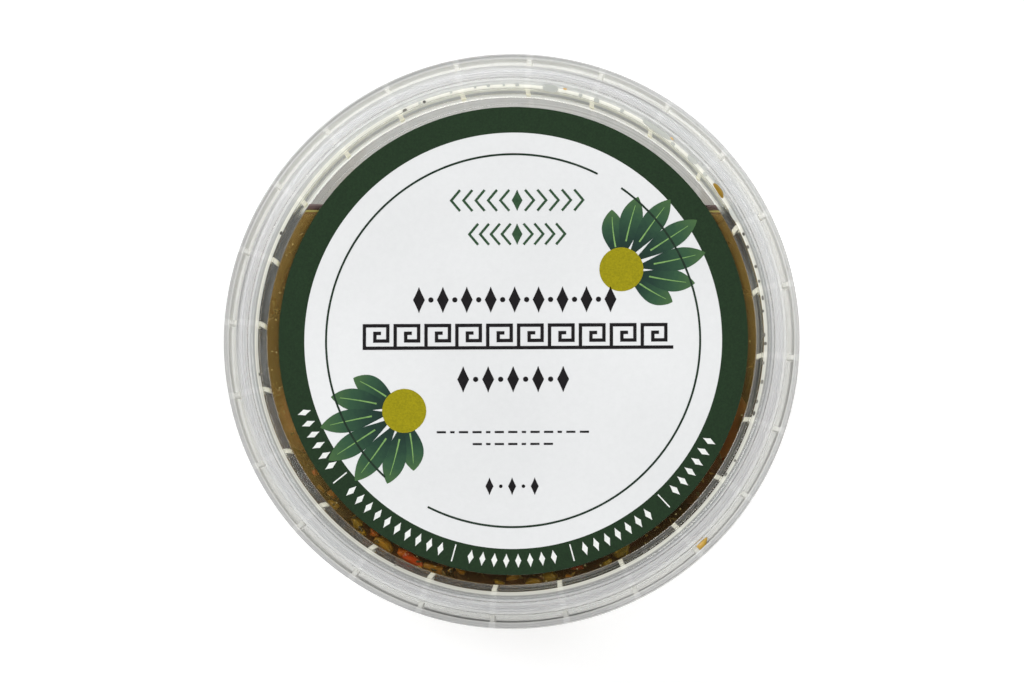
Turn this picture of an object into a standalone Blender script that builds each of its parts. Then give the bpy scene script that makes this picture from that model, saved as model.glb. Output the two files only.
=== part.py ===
"""A shut, clear deli tub of marinated pitted olives: the tub, its pressed-on lid, the round paper
label and the heap of olives inside.

Metres, +Z up. The tub lies on its base with the lid up, and the origin is on the table under the
middle of the tub. The olives keep the place they took while the tub stood on its edge: they fill it
from the wall at -Y up to an upright level plane, and leave the space towards +Y free.
"""

import math

import bmesh
import bpy
import numpy as np

MM = 0.001

# Tub
OUTER_RADIUS = 60.0 * MM
TUB_WALL = 0.8 * MM
FLOOR_TOP = 1.7 * MM  # inside, over the raised middle of the base
FOOT_INNER_RADIUS = 41.8 * MM
FOOT_OUTER_RADIUS = 45.9 * MM
FOOT_HEIGHT = 0.8 * MM
HEEL_HEIGHT = 3.2 * MM  # the straight wall starts here
HEEL_RADIUS = 48.2 * MM
SHOULDER_HEIGHT = 49.2 * MM  # and ends here, under the flange
SHOULDER_RADIUS = 54.9 * MM
FLANGE_BOTTOM = 49.6 * MM
FLANGE_TOP = 50.5 * MM
COLLAR_WALL = 1.2 * MM
COLLAR_TOP = 55.0 * MM
SEAL_INNER_RADIUS = 54.4 * MM
SEAL_BEAD_RADIUS = 56.1 * MM
SEAL_BEAD_BOTTOM = 54.0 * MM
SEAL_TOP = 55.9 * MM

# Lid
LID_TOP = 57.0 * MM
LID_WALL = 0.8 * MM
LID_RADIUS = 57.3 * MM
SKIRT_BOTTOM = 51.2 * MM
PANEL_TOP = 53.6 * MM
PANEL_RADIUS = 51.0 * MM
PLUG_TOP_RADIUS = 52.3 * MM

# The short upright ribs round the collar and inside the lid's step
RIBS = 24
FIRST_RIB = math.radians(3.8)  # clockwise from +Y, seen from above
RIB_THICKNESS = 1.1 * MM
COLLAR_RIB_INNER_RADIUS = 57.65 * MM
COLLAR_RIB_TOP = 54.6 * MM
LID_RIB_INNER_RADIUS = 51.25 * MM
LID_RIB_TOP = 56.4 * MM

# Label
LABEL_RADIUS = 48.8 * MM
LABEL_THICKNESS = 0.2 * MM
LABEL_OFFSET = 0.35 * MM  # stuck on a little towards +X
CONTACT_GAP = 0.2 * MM

# Olives
OLIVES = 78
OLIVE_SEED = 11
OLIVE_HALF_LENGTH = (9.6 * MM, 11.6 * MM)
OLIVE_RADIUS = (6.9 * MM, 8.0 * MM)
OLIVE_SIDES = 8
OLIVE_RINGS = 6
SETTLING_ROUNDS = 260
CLEARANCE = 0.4 * MM  # olives to tub and lid
LEVEL_Y = 17.0 * MM  # the olives end at y = LEVEL_Y + LEVEL_SLOPE * x
LEVEL_SLOPE = -0.036
LID_GAP = 5.0 * MM  # the upper olives lie this far behind the lid
LID_GAP_START = -10.0 * MM  # the gap opens between these two values of y
LID_GAP_END = 2.0 * MM
CORE_DEPTH = 5.6 * MM  # the core lies this far behind the outermost olives
SHOWN_DEPTH = 12.5 * MM  # an olive whose middle is deeper than this doesn't show

TURNS = 60  # facets round the tub and the lid
CORE_TURNS = 36

INNER_HEEL_RADIUS = HEEL_RADIUS - TUB_WALL
INNER_SHOULDER_RADIUS = SHOULDER_RADIUS - TUB_WALL
PANEL_BOTTOM = PANEL_TOP - LID_WALL
LID_UNDERSIDE = LID_TOP - LID_WALL


def clear_scene():
    for thing in list(bpy.data.objects):
        bpy.data.objects.remove(thing, do_unlink=True)


def make_material(name, colour, roughness, alpha=1.0):
    material = bpy.data.materials.new(name)
    material.use_nodes = True
    shader = material.node_tree.nodes["Principled BSDF"]
    shader.inputs["Base Color"].default_value = (*colour, 1.0)
    shader.inputs["Roughness"].default_value = roughness
    shader.inputs["Metallic"].default_value = 0.0
    shader.inputs["Alpha"].default_value = alpha
    material.diffuse_color = (*colour, alpha)
    return material


def add_object(name, mesh, material):
    thing = bpy.data.objects.new(name, mesh)
    mesh.materials.append(material)
    bpy.context.scene.collection.objects.link(thing)
    return thing


def turned(name, profile, material):
    """A body of revolution. The profile starts and ends on the axis and runs down its outer side."""
    mesh = bpy.data.meshes.new(name)
    points = [(radius, 0.0, height) for radius, height in profile]
    mesh.from_pydata(points, [(i, i + 1) for i in range(len(points) - 1)], [])
    thing = add_object(name, mesh, material)
    screw = thing.modifiers.new("Turn", "SCREW")
    screw.steps = TURNS
    screw.render_steps = TURNS
    screw.use_merge_vertices = True
    screw.merge_threshold = 0.00001
    screw.use_smooth_shade = True
    return thing


def box_mesh(name, low, high):
    shape = bmesh.new()
    bmesh.ops.create_cube(shape, size=1.0)
    for vertex in shape.verts:
        for axis in range(3):
            vertex.co[axis] = high[axis] if vertex.co[axis] > 0 else low[axis]
    mesh = bpy.data.meshes.new(name)
    shape.to_mesh(mesh)
    shape.free()
    return mesh


def apply_modifiers(thing):
    graph = bpy.context.evaluated_depsgraph_get()
    mesh = bpy.data.meshes.new_from_object(thing.evaluated_get(graph))
    thing.modifiers.clear()
    thing.data = mesh


def fuse(thing, pieces):
    """Joins the pieces to the thing with one Boolean union, and removes them."""
    group = bpy.data.collections.new(thing.name + "_pieces")
    bpy.context.scene.collection.children.link(group)
    for piece in pieces:
        bpy.context.scene.collection.objects.unlink(piece)
        group.objects.link(piece)
    union = thing.modifiers.new("Union", "BOOLEAN")
    union.operation = "UNION"
    union.operand_type = "COLLECTION"
    union.collection = group
    union.solver = "EXACT"
    apply_modifiers(thing)
    for piece in pieces:
        bpy.data.objects.remove(piece, do_unlink=True)
    bpy.data.collections.remove(group)


def rib_ring(name, inner, outer, bottom, top, material):
    """Upright ribs, each a box that points at the axis, evenly round from the first one's angle."""
    ribs = []
    for index in range(RIBS):
        mesh = box_mesh(
            f"{name}_{index}",
            (inner, -RIB_THICKNESS / 2, bottom),
            (outer, RIB_THICKNESS / 2, top),
        )
        rib = add_object(f"{name}_{index}", mesh, material)
        rib.rotation_euler.z = math.pi / 2 - FIRST_RIB - index * math.tau / RIBS
        ribs.append(rib)
    bpy.context.view_layer.update()
    return ribs


def shade(thing):
    thing.data.shade_smooth()
    thing.data.set_sharp_from_angle(angle=math.radians(35))


def make_tub(material):
    floor_step = FLOOR_TOP - FOOT_HEIGHT
    collar_inner = OUTER_RADIUS - COLLAR_WALL
    edge = 0.3 * MM
    profile = [
        (0, FLOOR_TOP),
        (FOOT_INNER_RADIUS - 2.2 * MM, FLOOR_TOP),
        (FOOT_INNER_RADIUS - 1.2 * MM, floor_step),
        (FOOT_OUTER_RADIUS - 0.7 * MM, floor_step),
        (INNER_HEEL_RADIUS - 0.6 * MM, floor_step + 0.6 * MM),
        (INNER_HEEL_RADIUS, HEEL_HEIGHT),
        (INNER_SHOULDER_RADIUS, SHOULDER_HEIGHT),
        (SEAL_INNER_RADIUS, SEAL_TOP - 1.0 * MM),
        (SEAL_INNER_RADIUS + edge, SEAL_TOP - edge),
        ((SEAL_INNER_RADIUS + SEAL_BEAD_RADIUS) / 2, SEAL_TOP),
        (SEAL_BEAD_RADIUS - edge, SEAL_TOP - edge),
        (SEAL_BEAD_RADIUS, SEAL_TOP - 1.0 * MM),
        (SEAL_BEAD_RADIUS, SEAL_BEAD_BOTTOM),
        (SHOULDER_RADIUS + 0.3 * MM, SEAL_BEAD_BOTTOM - 0.8 * MM),
        (SHOULDER_RADIUS + 0.3 * MM, FLANGE_TOP),
        (collar_inner - 0.2 * MM, FLANGE_TOP),
        (collar_inner, FLANGE_TOP + edge),
        (collar_inner, COLLAR_TOP - edge),
        (collar_inner + edge, COLLAR_TOP),
        (OUTER_RADIUS - edge, COLLAR_TOP),
        (OUTER_RADIUS, COLLAR_TOP - edge),
        (OUTER_RADIUS, FLANGE_BOTTOM + edge),
        (OUTER_RADIUS - edge, FLANGE_BOTTOM),
        (SHOULDER_RADIUS + 0.6 * MM, FLANGE_BOTTOM),
        (SHOULDER_RADIUS, SHOULDER_HEIGHT),
        (HEEL_RADIUS, HEEL_HEIGHT),
        (HEEL_RADIUS - 1.0 * MM, FOOT_HEIGHT),
        (FOOT_OUTER_RADIUS, 0),
        (FOOT_INNER_RADIUS, 0),
        (FOOT_INNER_RADIUS - 1.4 * MM, FOOT_HEIGHT),
        (0, FOOT_HEIGHT),
    ]
    tub = turned("tub", profile, material)
    apply_modifiers(tub)
    ribs = rib_ring(
        "collar_rib",
        COLLAR_RIB_INNER_RADIUS,
        collar_inner + COLLAR_WALL / 2,
        FLANGE_TOP - 0.4 * MM,
        COLLAR_RIB_TOP,
        material,
    )
    fuse(tub, ribs)
    shade(tub)
    return tub


def make_lid(material):
    edge = 0.4 * MM
    skirt_inner = LID_RADIUS - LID_WALL
    profile = [
        (0, PANEL_TOP),
        (PANEL_RADIUS, PANEL_TOP),
        (PANEL_RADIUS + 0.3 * MM, PANEL_TOP + 0.2 * MM),
        (PLUG_TOP_RADIUS - 0.1 * MM, LID_TOP - edge),
        (PLUG_TOP_RADIUS + 0.4 * MM, LID_TOP),
        (LID_RADIUS - edge, LID_TOP),
        (LID_RADIUS, LID_TOP - edge),
        (LID_RADIUS, SKIRT_BOTTOM + 0.2 * MM),
        (LID_RADIUS - 0.3 * MM, SKIRT_BOTTOM),
        (skirt_inner - 0.5 * MM, SKIRT_BOTTOM + 0.6 * MM),
        (skirt_inner - 0.5 * MM, SKIRT_BOTTOM + 1.4 * MM),
        (skirt_inner, SKIRT_BOTTOM + 2.0 * MM),
        (skirt_inner, LID_UNDERSIDE),
        (PLUG_TOP_RADIUS + 1.2 * MM, LID_UNDERSIDE),
        (PLUG_TOP_RADIUS + 0.6 * MM, LID_UNDERSIDE - 0.4 * MM),
        (PANEL_RADIUS + 0.9 * MM, PANEL_BOTTOM + 0.2 * MM),
        (PANEL_RADIUS + 0.6 * MM, PANEL_BOTTOM),
        (0, PANEL_BOTTOM),
    ]
    lid = turned("lid", profile, material)
    apply_modifiers(lid)
    ribs = rib_ring(
        "lid_rib",
        LID_RIB_INNER_RADIUS,
        PLUG_TOP_RADIUS + 0.3 * MM,
        PANEL_TOP - 0.3 * MM,
        LID_RIB_TOP,
        material,
    )
    fuse(lid, ribs)
    shade(lid)
    return lid


def make_label(material):
    bottom = PANEL_TOP + CONTACT_GAP
    profile = [
        (0, bottom + LABEL_THICKNESS),
        (LABEL_RADIUS, bottom + LABEL_THICKNESS),
        (LABEL_RADIUS, bottom),
        (0, bottom),
    ]
    label = turned("label", profile, material)
    apply_modifiers(label)
    label.location.x = LABEL_OFFSET
    shade(label)
    return label


def wall_radius(height):
    """The inside radius of the tub at a height, along its straight tapering wall."""
    share = (height - HEEL_HEIGHT) / (SHOULDER_HEIGHT - HEEL_HEIGHT)
    return INNER_HEEL_RADIUS + share * (INNER_SHOULDER_RADIUS - INNER_HEEL_RADIUS)


def ceiling(y):
    """The height that the olives reach at y: the lid's underside, less the gap, which opens smoothly."""
    share = np.clip((y - LID_GAP_START) / (LID_GAP_END - LID_GAP_START), 0.0, 1.0)
    return PANEL_BOTTOM - CLEARANCE - LID_GAP * share * share * (3 - 2 * share)


def settle_olives():
    """Olives tipped in at random, then pushed apart round by round until they lie side by side.

    Each olive is three balls in a row: a large one in its middle and one towards each end. Balls of
    two olives that cross are pushed apart by half their overlap each, and balls that cross the wall,
    the floor, the lid or the level plane are pushed back in. A push off the middle also turns the
    olive. The places are rounded to a hundredth of a millimetre.
    """
    draw = np.random.RandomState(OLIVE_SEED)
    half_length = draw.uniform(*OLIVE_HALF_LENGTH, OLIVES)
    radius = draw.uniform(*OLIVE_RADIUS, OLIVES)
    angle = draw.uniform(0, math.tau, OLIVES)
    reach = np.sqrt(draw.uniform(0, 1, OLIVES)) * 40 * MM
    middle = np.stack(
        [
            reach * np.cos(angle),
            reach * np.sin(angle) * 0.7 - 12 * MM,
            draw.uniform(10 * MM, 44 * MM, OLIVES),
        ],
        axis=1,
    )
    along = draw.normal(size=(OLIVES, 3))
    along /= np.linalg.norm(along, axis=1, keepdims=True)

    end_radius = 0.7 * radius
    offset = np.stack([-(half_length - end_radius), 0 * radius, half_length - end_radius], axis=1)
    ball_radius = np.stack([end_radius, radius, end_radius], axis=1)
    owner = np.repeat(np.arange(OLIVES), 3)
    sizes = ball_radius.reshape(-1)
    reach_sum = sizes[:, None] + sizes[None, :]
    same = owner[:, None] == owner[None, :]
    level_normal = np.array([-LEVEL_SLOPE, 1.0, 0.0]) / math.hypot(1.0, LEVEL_SLOPE)

    for _ in range(SETTLING_ROUNDS):
        balls = middle[:, None, :] + offset[:, :, None] * along[:, None, :]
        flat = balls.reshape(-1, 3)
        apart = flat[:, None, :] - flat[None, :, :]
        distance = np.sqrt((apart**2).sum(axis=2)) + 1e-9
        overlap = np.where(same, 0.0, np.maximum(reach_sum - distance, 0.0))
        push = ((0.35 * overlap / distance)[:, :, None] * apart).sum(axis=1)

        across = np.hypot(flat[:, 0], flat[:, 1]) + 1e-9
        beyond = np.maximum(across + sizes + CLEARANCE - wall_radius(flat[:, 2]), 0.0)
        push[:, :2] -= flat[:, :2] * (beyond / across)[:, None]
        push[:, 2] += np.maximum(FLOOR_TOP + CLEARANCE + sizes - flat[:, 2], 0.0)
        push[:, 2] -= np.maximum(flat[:, 2] + sizes - ceiling(flat[:, 1]), 0.0)
        over_level = flat @ level_normal + sizes - LEVEL_Y
        push -= np.maximum(over_level, 0.0)[:, None] * level_normal

        push = push.reshape(OLIVES, 3, 3)
        middle = middle + push.sum(axis=1) / 2
        turn = (offset[:, :, None] * push).sum(axis=1) / half_length[:, None] ** 2
        along = along + turn - (turn * along).sum(axis=1, keepdims=True) * along
        along /= np.linalg.norm(along, axis=1, keepdims=True)
    return np.round(middle, 5), np.round(along, 3), half_length, radius


def wall_depth(middle):
    """How far a point lies behind the nearest side of the heap: wall, floor, lid or level plane."""
    level = LEVEL_Y + LEVEL_SLOPE * middle[:, 0]
    sides = [
        wall_radius(middle[:, 2]) - np.hypot(middle[:, 0], middle[:, 1]),
        middle[:, 2] - FLOOR_TOP,
        ceiling(middle[:, 1]) - middle[:, 2],
        level - middle[:, 1],
    ]
    return np.min(sides, axis=0)


def pressed_in(points):
    """The points, with those that cross the tub's inside brought back to it: olives flatten there."""
    points = points.copy()
    points[:, 2] = np.clip(points[:, 2], FLOOR_TOP + CLEARANCE, PANEL_BOTTOM - CLEARANCE)
    across = np.hypot(points[:, 0], points[:, 1])
    limit = wall_radius(points[:, 2]) - CLEARANCE
    points[:, :2] *= np.minimum(1.0, limit / across)[:, None]
    return points


def olive_mesh(name, middle, along, half_length, radius):
    """A closed ellipsoid of few sides, long axis along the given direction."""
    helper = np.array([0.0, 0.0, 1.0]) if abs(along[2]) < 0.9 else np.array([1.0, 0.0, 0.0])
    side = np.cross(along, helper)
    side /= np.linalg.norm(side)
    other = np.cross(along, side)
    points = [middle - along * half_length]
    for ring in range(1, OLIVE_RINGS):
        slant = math.pi * ring / OLIVE_RINGS
        for step in range(OLIVE_SIDES):
            turn = math.tau * step / OLIVE_SIDES
            out = side * math.cos(turn) + other * math.sin(turn)
            points.append(
                middle - along * half_length * math.cos(slant) + out * radius * math.sin(slant)
            )
    points.append(middle + along * half_length)
    last = len(points) - 1
    faces = []
    for step in range(OLIVE_SIDES):
        follow = (step + 1) % OLIVE_SIDES
        faces.append((0, 1 + step, 1 + follow))
        for ring in range(OLIVE_RINGS - 2):
            low = 1 + ring * OLIVE_SIDES
            high = low + OLIVE_SIDES
            faces.append((low + step, high + step, high + follow, low + follow))
        top = 1 + (OLIVE_RINGS - 2) * OLIVE_SIDES
        faces.append((last, top + follow, top + step))
    mesh = bpy.data.meshes.new(name)
    mesh.from_pydata(pressed_in(np.array(points)).tolist(), [], faces)
    return outward(mesh)


def outward(mesh):
    """The mesh as triangles with its faces turned outwards."""
    shape = bmesh.new()
    shape.from_mesh(mesh)
    bmesh.ops.triangulate(shape, faces=shape.faces)
    bmesh.ops.recalc_face_normals(shape, faces=shape.faces)
    shape.to_mesh(mesh)
    shape.free()
    return mesh


def core_outline(height):
    """The heap's outline at a height, drawn in by the core's depth: most of a circle and a chord."""
    radius = wall_radius(height) - CORE_DEPTH
    level = LEVEL_Y - CORE_DEPTH
    start = math.pi - math.asin(level / radius)
    sweep = math.pi + 2 * math.asin(level / radius)
    angles = start + sweep * np.arange(CORE_TURNS + 1) / CORE_TURNS
    return np.stack([radius * np.cos(angles), radius * np.sin(angles)], axis=1)


def make_core(material):
    bottom = FLOOR_TOP + CORE_DEPTH * 0.8
    top = PANEL_BOTTOM - LID_GAP - CORE_DEPTH * 0.6
    rings = [core_outline(height) for height in (bottom, top)]
    count = len(rings[0])
    points = [(x, y, z) for ring, z in zip(rings, (bottom, top)) for x, y in ring]
    faces = [
        (i, (i + 1) % count, count + (i + 1) % count, count + i) for i in range(count)
    ]
    faces.append(tuple(reversed(range(count))))
    faces.append(tuple(range(count, 2 * count)))
    mesh = bpy.data.meshes.new("olives")
    mesh.from_pydata(points, [], faces)
    return add_object("olives", outward(mesh), material)


def keep_outer_shell(thing):
    """Deletes every shell but the largest: hollows that fusing sealed are filled, scraps dropped."""
    shape = bmesh.new()
    shape.from_mesh(thing.data)
    shape.verts.ensure_lookup_table()
    unseen = set(shape.verts)
    shells = []
    while unseen:
        first = next(iter(unseen))
        shell = {first}
        front = [first]
        while front:
            vertex = front.pop()
            for edge in vertex.link_edges:
                other = edge.other_vert(vertex)
                if other not in shell:
                    shell.add(other)
                    front.append(other)
        unseen -= shell
        shells.append(shell)
    shells.sort(key=len)
    loose = [vertex for shell in shells[:-1] for vertex in shell]
    bmesh.ops.delete(shape, geom=loose, context="VERTS")
    shape.to_mesh(thing.data)
    shape.free()


def make_olives(material):
    middle, along, half_length, radius = settle_olives()
    shown = np.flatnonzero(wall_depth(middle) < SHOWN_DEPTH)
    heap = make_core(material)
    pieces = []
    for index in shown:
        name = f"olive_{index}"
        mesh = olive_mesh(name, middle[index], along[index], half_length[index], radius[index])
        pieces.append(add_object(name, mesh, material))
    fuse(heap, pieces)
    keep_outer_shell(heap)
    shade(heap)
    return heap


clear_scene()
clear_plastic = make_material("clear_polypropylene", (0.80, 0.81, 0.80), 0.22, 0.35)
label_paper = make_material("printed_label_paper", (0.83, 0.84, 0.84), 0.45)
olive_skin = make_material("marinated_olive", (0.13, 0.06, 0.05), 0.30)
make_tub(clear_plastic)
make_lid(clear_plastic)
make_label(label_paper)
make_olives(olive_skin)
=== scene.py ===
"""The looks of a shut, clear tub of marinated pitted olives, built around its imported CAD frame.

Metres, +Z up. The tub lies on its base with the labelled lid up, and the camera looks down on it,
six degrees off its axis.
"""

import math

import bpy
import mathutils
import numpy as np
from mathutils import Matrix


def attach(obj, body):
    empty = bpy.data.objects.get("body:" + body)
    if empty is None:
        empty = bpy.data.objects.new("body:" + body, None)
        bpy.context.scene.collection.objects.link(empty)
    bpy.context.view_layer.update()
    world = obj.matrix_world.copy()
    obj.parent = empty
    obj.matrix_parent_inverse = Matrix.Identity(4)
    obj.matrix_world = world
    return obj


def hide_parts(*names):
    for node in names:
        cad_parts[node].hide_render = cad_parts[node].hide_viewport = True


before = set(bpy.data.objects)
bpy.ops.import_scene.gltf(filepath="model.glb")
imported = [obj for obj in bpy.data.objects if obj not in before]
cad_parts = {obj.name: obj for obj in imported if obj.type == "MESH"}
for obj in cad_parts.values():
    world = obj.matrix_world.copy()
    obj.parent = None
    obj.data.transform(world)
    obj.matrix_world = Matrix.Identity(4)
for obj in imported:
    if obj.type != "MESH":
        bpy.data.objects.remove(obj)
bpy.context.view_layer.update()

MM = 0.001

# The tub: thin clear polypropylene, injection moulded in one piece with the collar round its mouth
# and 24 upright ribs in the collar's channel. The resin is slightly milky, most of all where one
# looks along a wall.
OUTER_RADIUS = 60.0 * MM
WALL = 0.8 * MM
FLOOR_TOP = 1.7 * MM
FOOT_HEIGHT = 0.8 * MM
FOOT_INNER_RADIUS = 41.8 * MM
FOOT_OUTER_RADIUS = 45.9 * MM
HEEL_HEIGHT = 3.2 * MM
HEEL_RADIUS = 48.2 * MM
SHOULDER_HEIGHT = 49.2 * MM
SHOULDER_RADIUS = 54.9 * MM
FLANGE_BOTTOM = 49.6 * MM
FLANGE_TOP = 50.5 * MM
COLLAR_INNER_RADIUS = 58.8 * MM
COLLAR_TOP = 55.0 * MM
SEAL_INNER_RADIUS = 54.4 * MM
SEAL_OUTER_RADIUS = 56.1 * MM
SEAL_TOP = 55.9 * MM
TURNS = 288


def linear(hex_colour):
    """An sRGB hex colour as the linear RGBA that Blender's sockets take."""
    values = [int(hex_colour[i : i + 2], 16) / 255 for i in (1, 3, 5)]
    return (*[v / 12.92 if v <= 0.04045 else ((v + 0.055) / 1.055) ** 2.4 for v in values], 1.0)


def add(tree, kind, inputs=None, **settings):
    """Adds a shader node with its settings.

    Each input takes a value, another node's socket, or another node, which gives its first output.
    """
    node = tree.nodes.new("ShaderNode" + kind)
    for name, value in settings.items():
        setattr(node, name, value)
    for name, value in (inputs or {}).items():
        if isinstance(value, bpy.types.Node):
            value = value.outputs[0]
        if isinstance(value, bpy.types.NodeSocket):
            tree.links.new(value, node.inputs[name])
        else:
            node.inputs[name].default_value = value
    return node


def empty_material(name):
    """A new material without nodes, and its node tree."""
    material = bpy.data.materials.new(name)
    material.use_nodes = True
    material.node_tree.nodes.clear()
    return material, material.node_tree


def ramp(tree, factor, stops):
    """A ramp through the (place, value) stops, each value a hex colour or a plain number."""
    node = add(tree, "ValToRGB", {"Fac": factor})
    elements = node.color_ramp.elements
    while len(elements) < len(stops):
        elements.new(0.5)
    for element, (place, _) in zip(elements, stops):
        element.position = place
    for element, (_, value) in zip(elements, stops):
        element.color = linear(value) if isinstance(value, str) else (value, value, value, 1.0)
    return node


def rounded(corners, reach):
    """A polyline with each inner corner turned into a parabola.

    The parabola leaves and meets the sides at the reach from the corner, or at 45% of the shorter
    side: point(t) = (1-t)^2 start + 2t(1-t) corner + t^2 end.
    """
    corners = np.array(corners, float)
    middle = corners[1:-1]
    back = corners[:-2] - middle
    ahead = corners[2:] - middle
    back_length = np.linalg.norm(back, axis=1, keepdims=True)
    ahead_length = np.linalg.norm(ahead, axis=1, keepdims=True)
    cut = np.minimum(reach, 0.45 * np.minimum(back_length, ahead_length))
    start = middle + back / back_length * cut
    end = middle + ahead / ahead_length * cut
    t = np.linspace(0, 1, 5)[None, :, None]
    curve = (1 - t) ** 2 * start[:, None] + 2 * t * (1 - t) * middle[:, None] + t**2 * end[:, None]
    return np.concatenate([corners[:1], curve.reshape(-1, 2), corners[-1:]])


def turned_rows(profile, turns=TURNS):
    """Rows of points round the axis: row i, place j is (r cos a, r sin a, z) with a = j / turns."""
    angle = math.tau * np.arange(turns) / turns
    radius = profile[:, :1]
    height = np.broadcast_to(profile[:, 1:], (len(profile), turns))
    return np.stack([radius * np.cos(angle), radius * np.sin(angle), height], axis=2)


def pole_body(rows):
    """Points and triangles of closed bodies, whose rows shrink to a point at the first and the last.

    rows[..., i, j, :] is row i, from the upper pole down the outside, and place j, anticlockwise seen
    from above. Leading axes hold any number of like bodies.
    """
    count, turns = rows.shape[-3:-1]
    rows = rows.reshape(-1, count, turns, 3)
    bodies = len(rows)
    inner = rows[:, 1:-1].reshape(bodies, -1, 3)
    points = np.concatenate([rows[:, 0, :1], inner, rows[:, -1, :1]], axis=1)
    place = 1 + np.arange((count - 2) * turns).reshape(count - 2, turns)
    beside = np.roll(place, -1, axis=1)
    a, b, c, d = place[:-1], beside[:-1], beside[1:], place[1:]
    top = np.zeros(turns, int)
    last = np.full(turns, 1 + (count - 2) * turns)
    faces = np.concatenate([
        np.stack([a, d, b], axis=-1).reshape(-1, 3), np.stack([b, d, c], axis=-1).reshape(-1, 3),
        np.stack([top, place[0], beside[0]], axis=-1),
        np.stack([last, beside[-1], place[-1]], axis=-1),
    ])
    shift = np.arange(bodies)[:, None, None] * points.shape[1]
    return points.reshape(-1, 3), (faces[None] + shift).reshape(-1, 3)


def ring_body(rows):
    """Points and triangles of a ring: the rows run round its section, and the places round the axis."""
    count, turns = rows.shape[:2]
    place = np.arange(count * turns).reshape(count, turns)
    below = np.roll(place, -1, axis=0)
    beside = np.roll(place, -1, axis=1)
    corner = np.roll(below, -1, axis=1)
    faces = np.concatenate([
        np.stack([place, below, beside], axis=-1).reshape(-1, 3),
        np.stack([beside, below, corner], axis=-1).reshape(-1, 3),
    ])
    return rows.reshape(-1, 3), faces


def piece(name, body, material, sharp=40):
    """A smooth-shaded piece from its points and triangles. It rides on the frame's one body."""
    points, triangles = body
    mesh = bpy.data.meshes.new(name)
    mesh.vertices.add(len(points))
    mesh.vertices.foreach_set("co", np.ascontiguousarray(points, np.float32).ravel())
    mesh.loops.add(triangles.size)
    mesh.loops.foreach_set("vertex_index", np.ascontiguousarray(triangles, np.int32).ravel())
    mesh.polygons.add(len(triangles))
    mesh.polygons.foreach_set("loop_start", np.arange(0, triangles.size, 3, dtype=np.int32))
    mesh.update(calc_edges=True)
    mesh.validate()
    mesh.shade_smooth()
    mesh.set_sharp_from_angle(angle=math.radians(sharp))
    mesh.materials.append(material)
    thing = bpy.data.objects.new(name, mesh)
    bpy.context.scene.collection.objects.link(thing)
    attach(thing, "root")
    return thing


RIBS = 24
FIRST_RIB = math.radians(3.8)
RIB_THICKNESS = 1.0 * MM


def rib_rows(inner, outer, bottom, top, lean=0.0):
    """The ribs' rows: level rounded rectangles from the inner to the outer radius, stacked up.

    The four-cornered outline is a superellipse, (|x|^n + |y|^n) = 1 with n = 12, and the rows at the
    ends draw in by the shrink and then to a point. The inner ends are set aside by the lean, most
    where the side runs along the direction (0.5, -0.87), as the photo shows.
    """
    shrink = 0.12 * MM
    around = math.tau * np.arange(20) / 20
    power = 1 / 6
    across = np.sign(np.cos(around)) * np.abs(np.cos(around)) ** power
    sideways = np.sign(np.sin(around)) * np.abs(np.sin(around)) ** power
    heights = np.array([top, top, top - shrink, bottom + shrink, bottom, bottom])
    draw_in = np.array([0.0, shrink, 0.0, 0.0, shrink, 0.0])
    open_row = np.array([0, 1, 1, 1, 1, 0])
    length = open_row * ((outer - inner) / 2 - draw_in)
    width = open_row * (RIB_THICKNESS / 2 - draw_in)
    x = (inner + outer) / 2 + length[:, None] * across
    y = width[:, None] * sideways
    turn = math.pi / 2 - FIRST_RIB - math.tau * np.arange(RIBS)[:, None, None] / RIBS
    aside = -0.5 * np.sin(turn) - 0.87 * np.cos(turn)
    y = y + lean * aside * (outer - x) / (outer - inner)
    z = np.broadcast_to(heights[:, None], (RIBS, len(heights), len(around)))
    return np.stack([x * np.cos(turn) - y * np.sin(turn), x * np.sin(turn) + y * np.cos(turn), z], -1)


def axis_distance(tree, coords):
    """The distance from the tub's axis."""
    split = add(tree, "SeparateXYZ", {0: coords})
    flat = add(tree, "CombineXYZ", {0: split.outputs[0], 1: split.outputs[1]})
    return add(tree, "VectorMath", {0: flat}, operation="LENGTH").outputs["Value"]


def radial_ramp(tree, coords, stops):
    """A value or a hex colour by distance from the axis, through (radius in mm, value) stops."""
    inner, outer = stops[0][0], stops[-1][0]
    limits = {"From Min": inner * MM, "From Max": outer * MM}
    share = add(tree, "MapRange", {"Value": axis_distance(tree, coords), **limits})
    return ramp(tree, share, [((radius - inner) / (outer - inner), v) for radius, v in stops])


def flow_lines(tree, coords, across, around):
    """Coordinates for noise that runs in streaks round the axis, as resin flows and cutters turn.

    The vector is (around x / r, around y / r, across (r + 0.6 z)): fine across, slow round the axis.
    """
    split = add(tree, "SeparateXYZ", {0: coords})
    flat = add(tree, "CombineXYZ", {0: split.outputs[0], 1: split.outputs[1]})
    unit = add(tree, "VectorMath", {0: flat}, operation="NORMALIZE")
    wide = add(tree, "VectorMath", {0: unit, "Scale": around}, operation="SCALE")
    lower = {0: split.outputs[2], 1: 0.6, 2: axis_distance(tree, coords)}
    lower = add(tree, "Math", lower, operation="MULTIPLY_ADD")
    fine = add(tree, "Math", {0: lower, 1: across}, operation="MULTIPLY")
    up = add(tree, "CombineXYZ", {2: fine})
    return add(tree, "VectorMath", {0: wide, 1: up}, operation="ADD")


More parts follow.
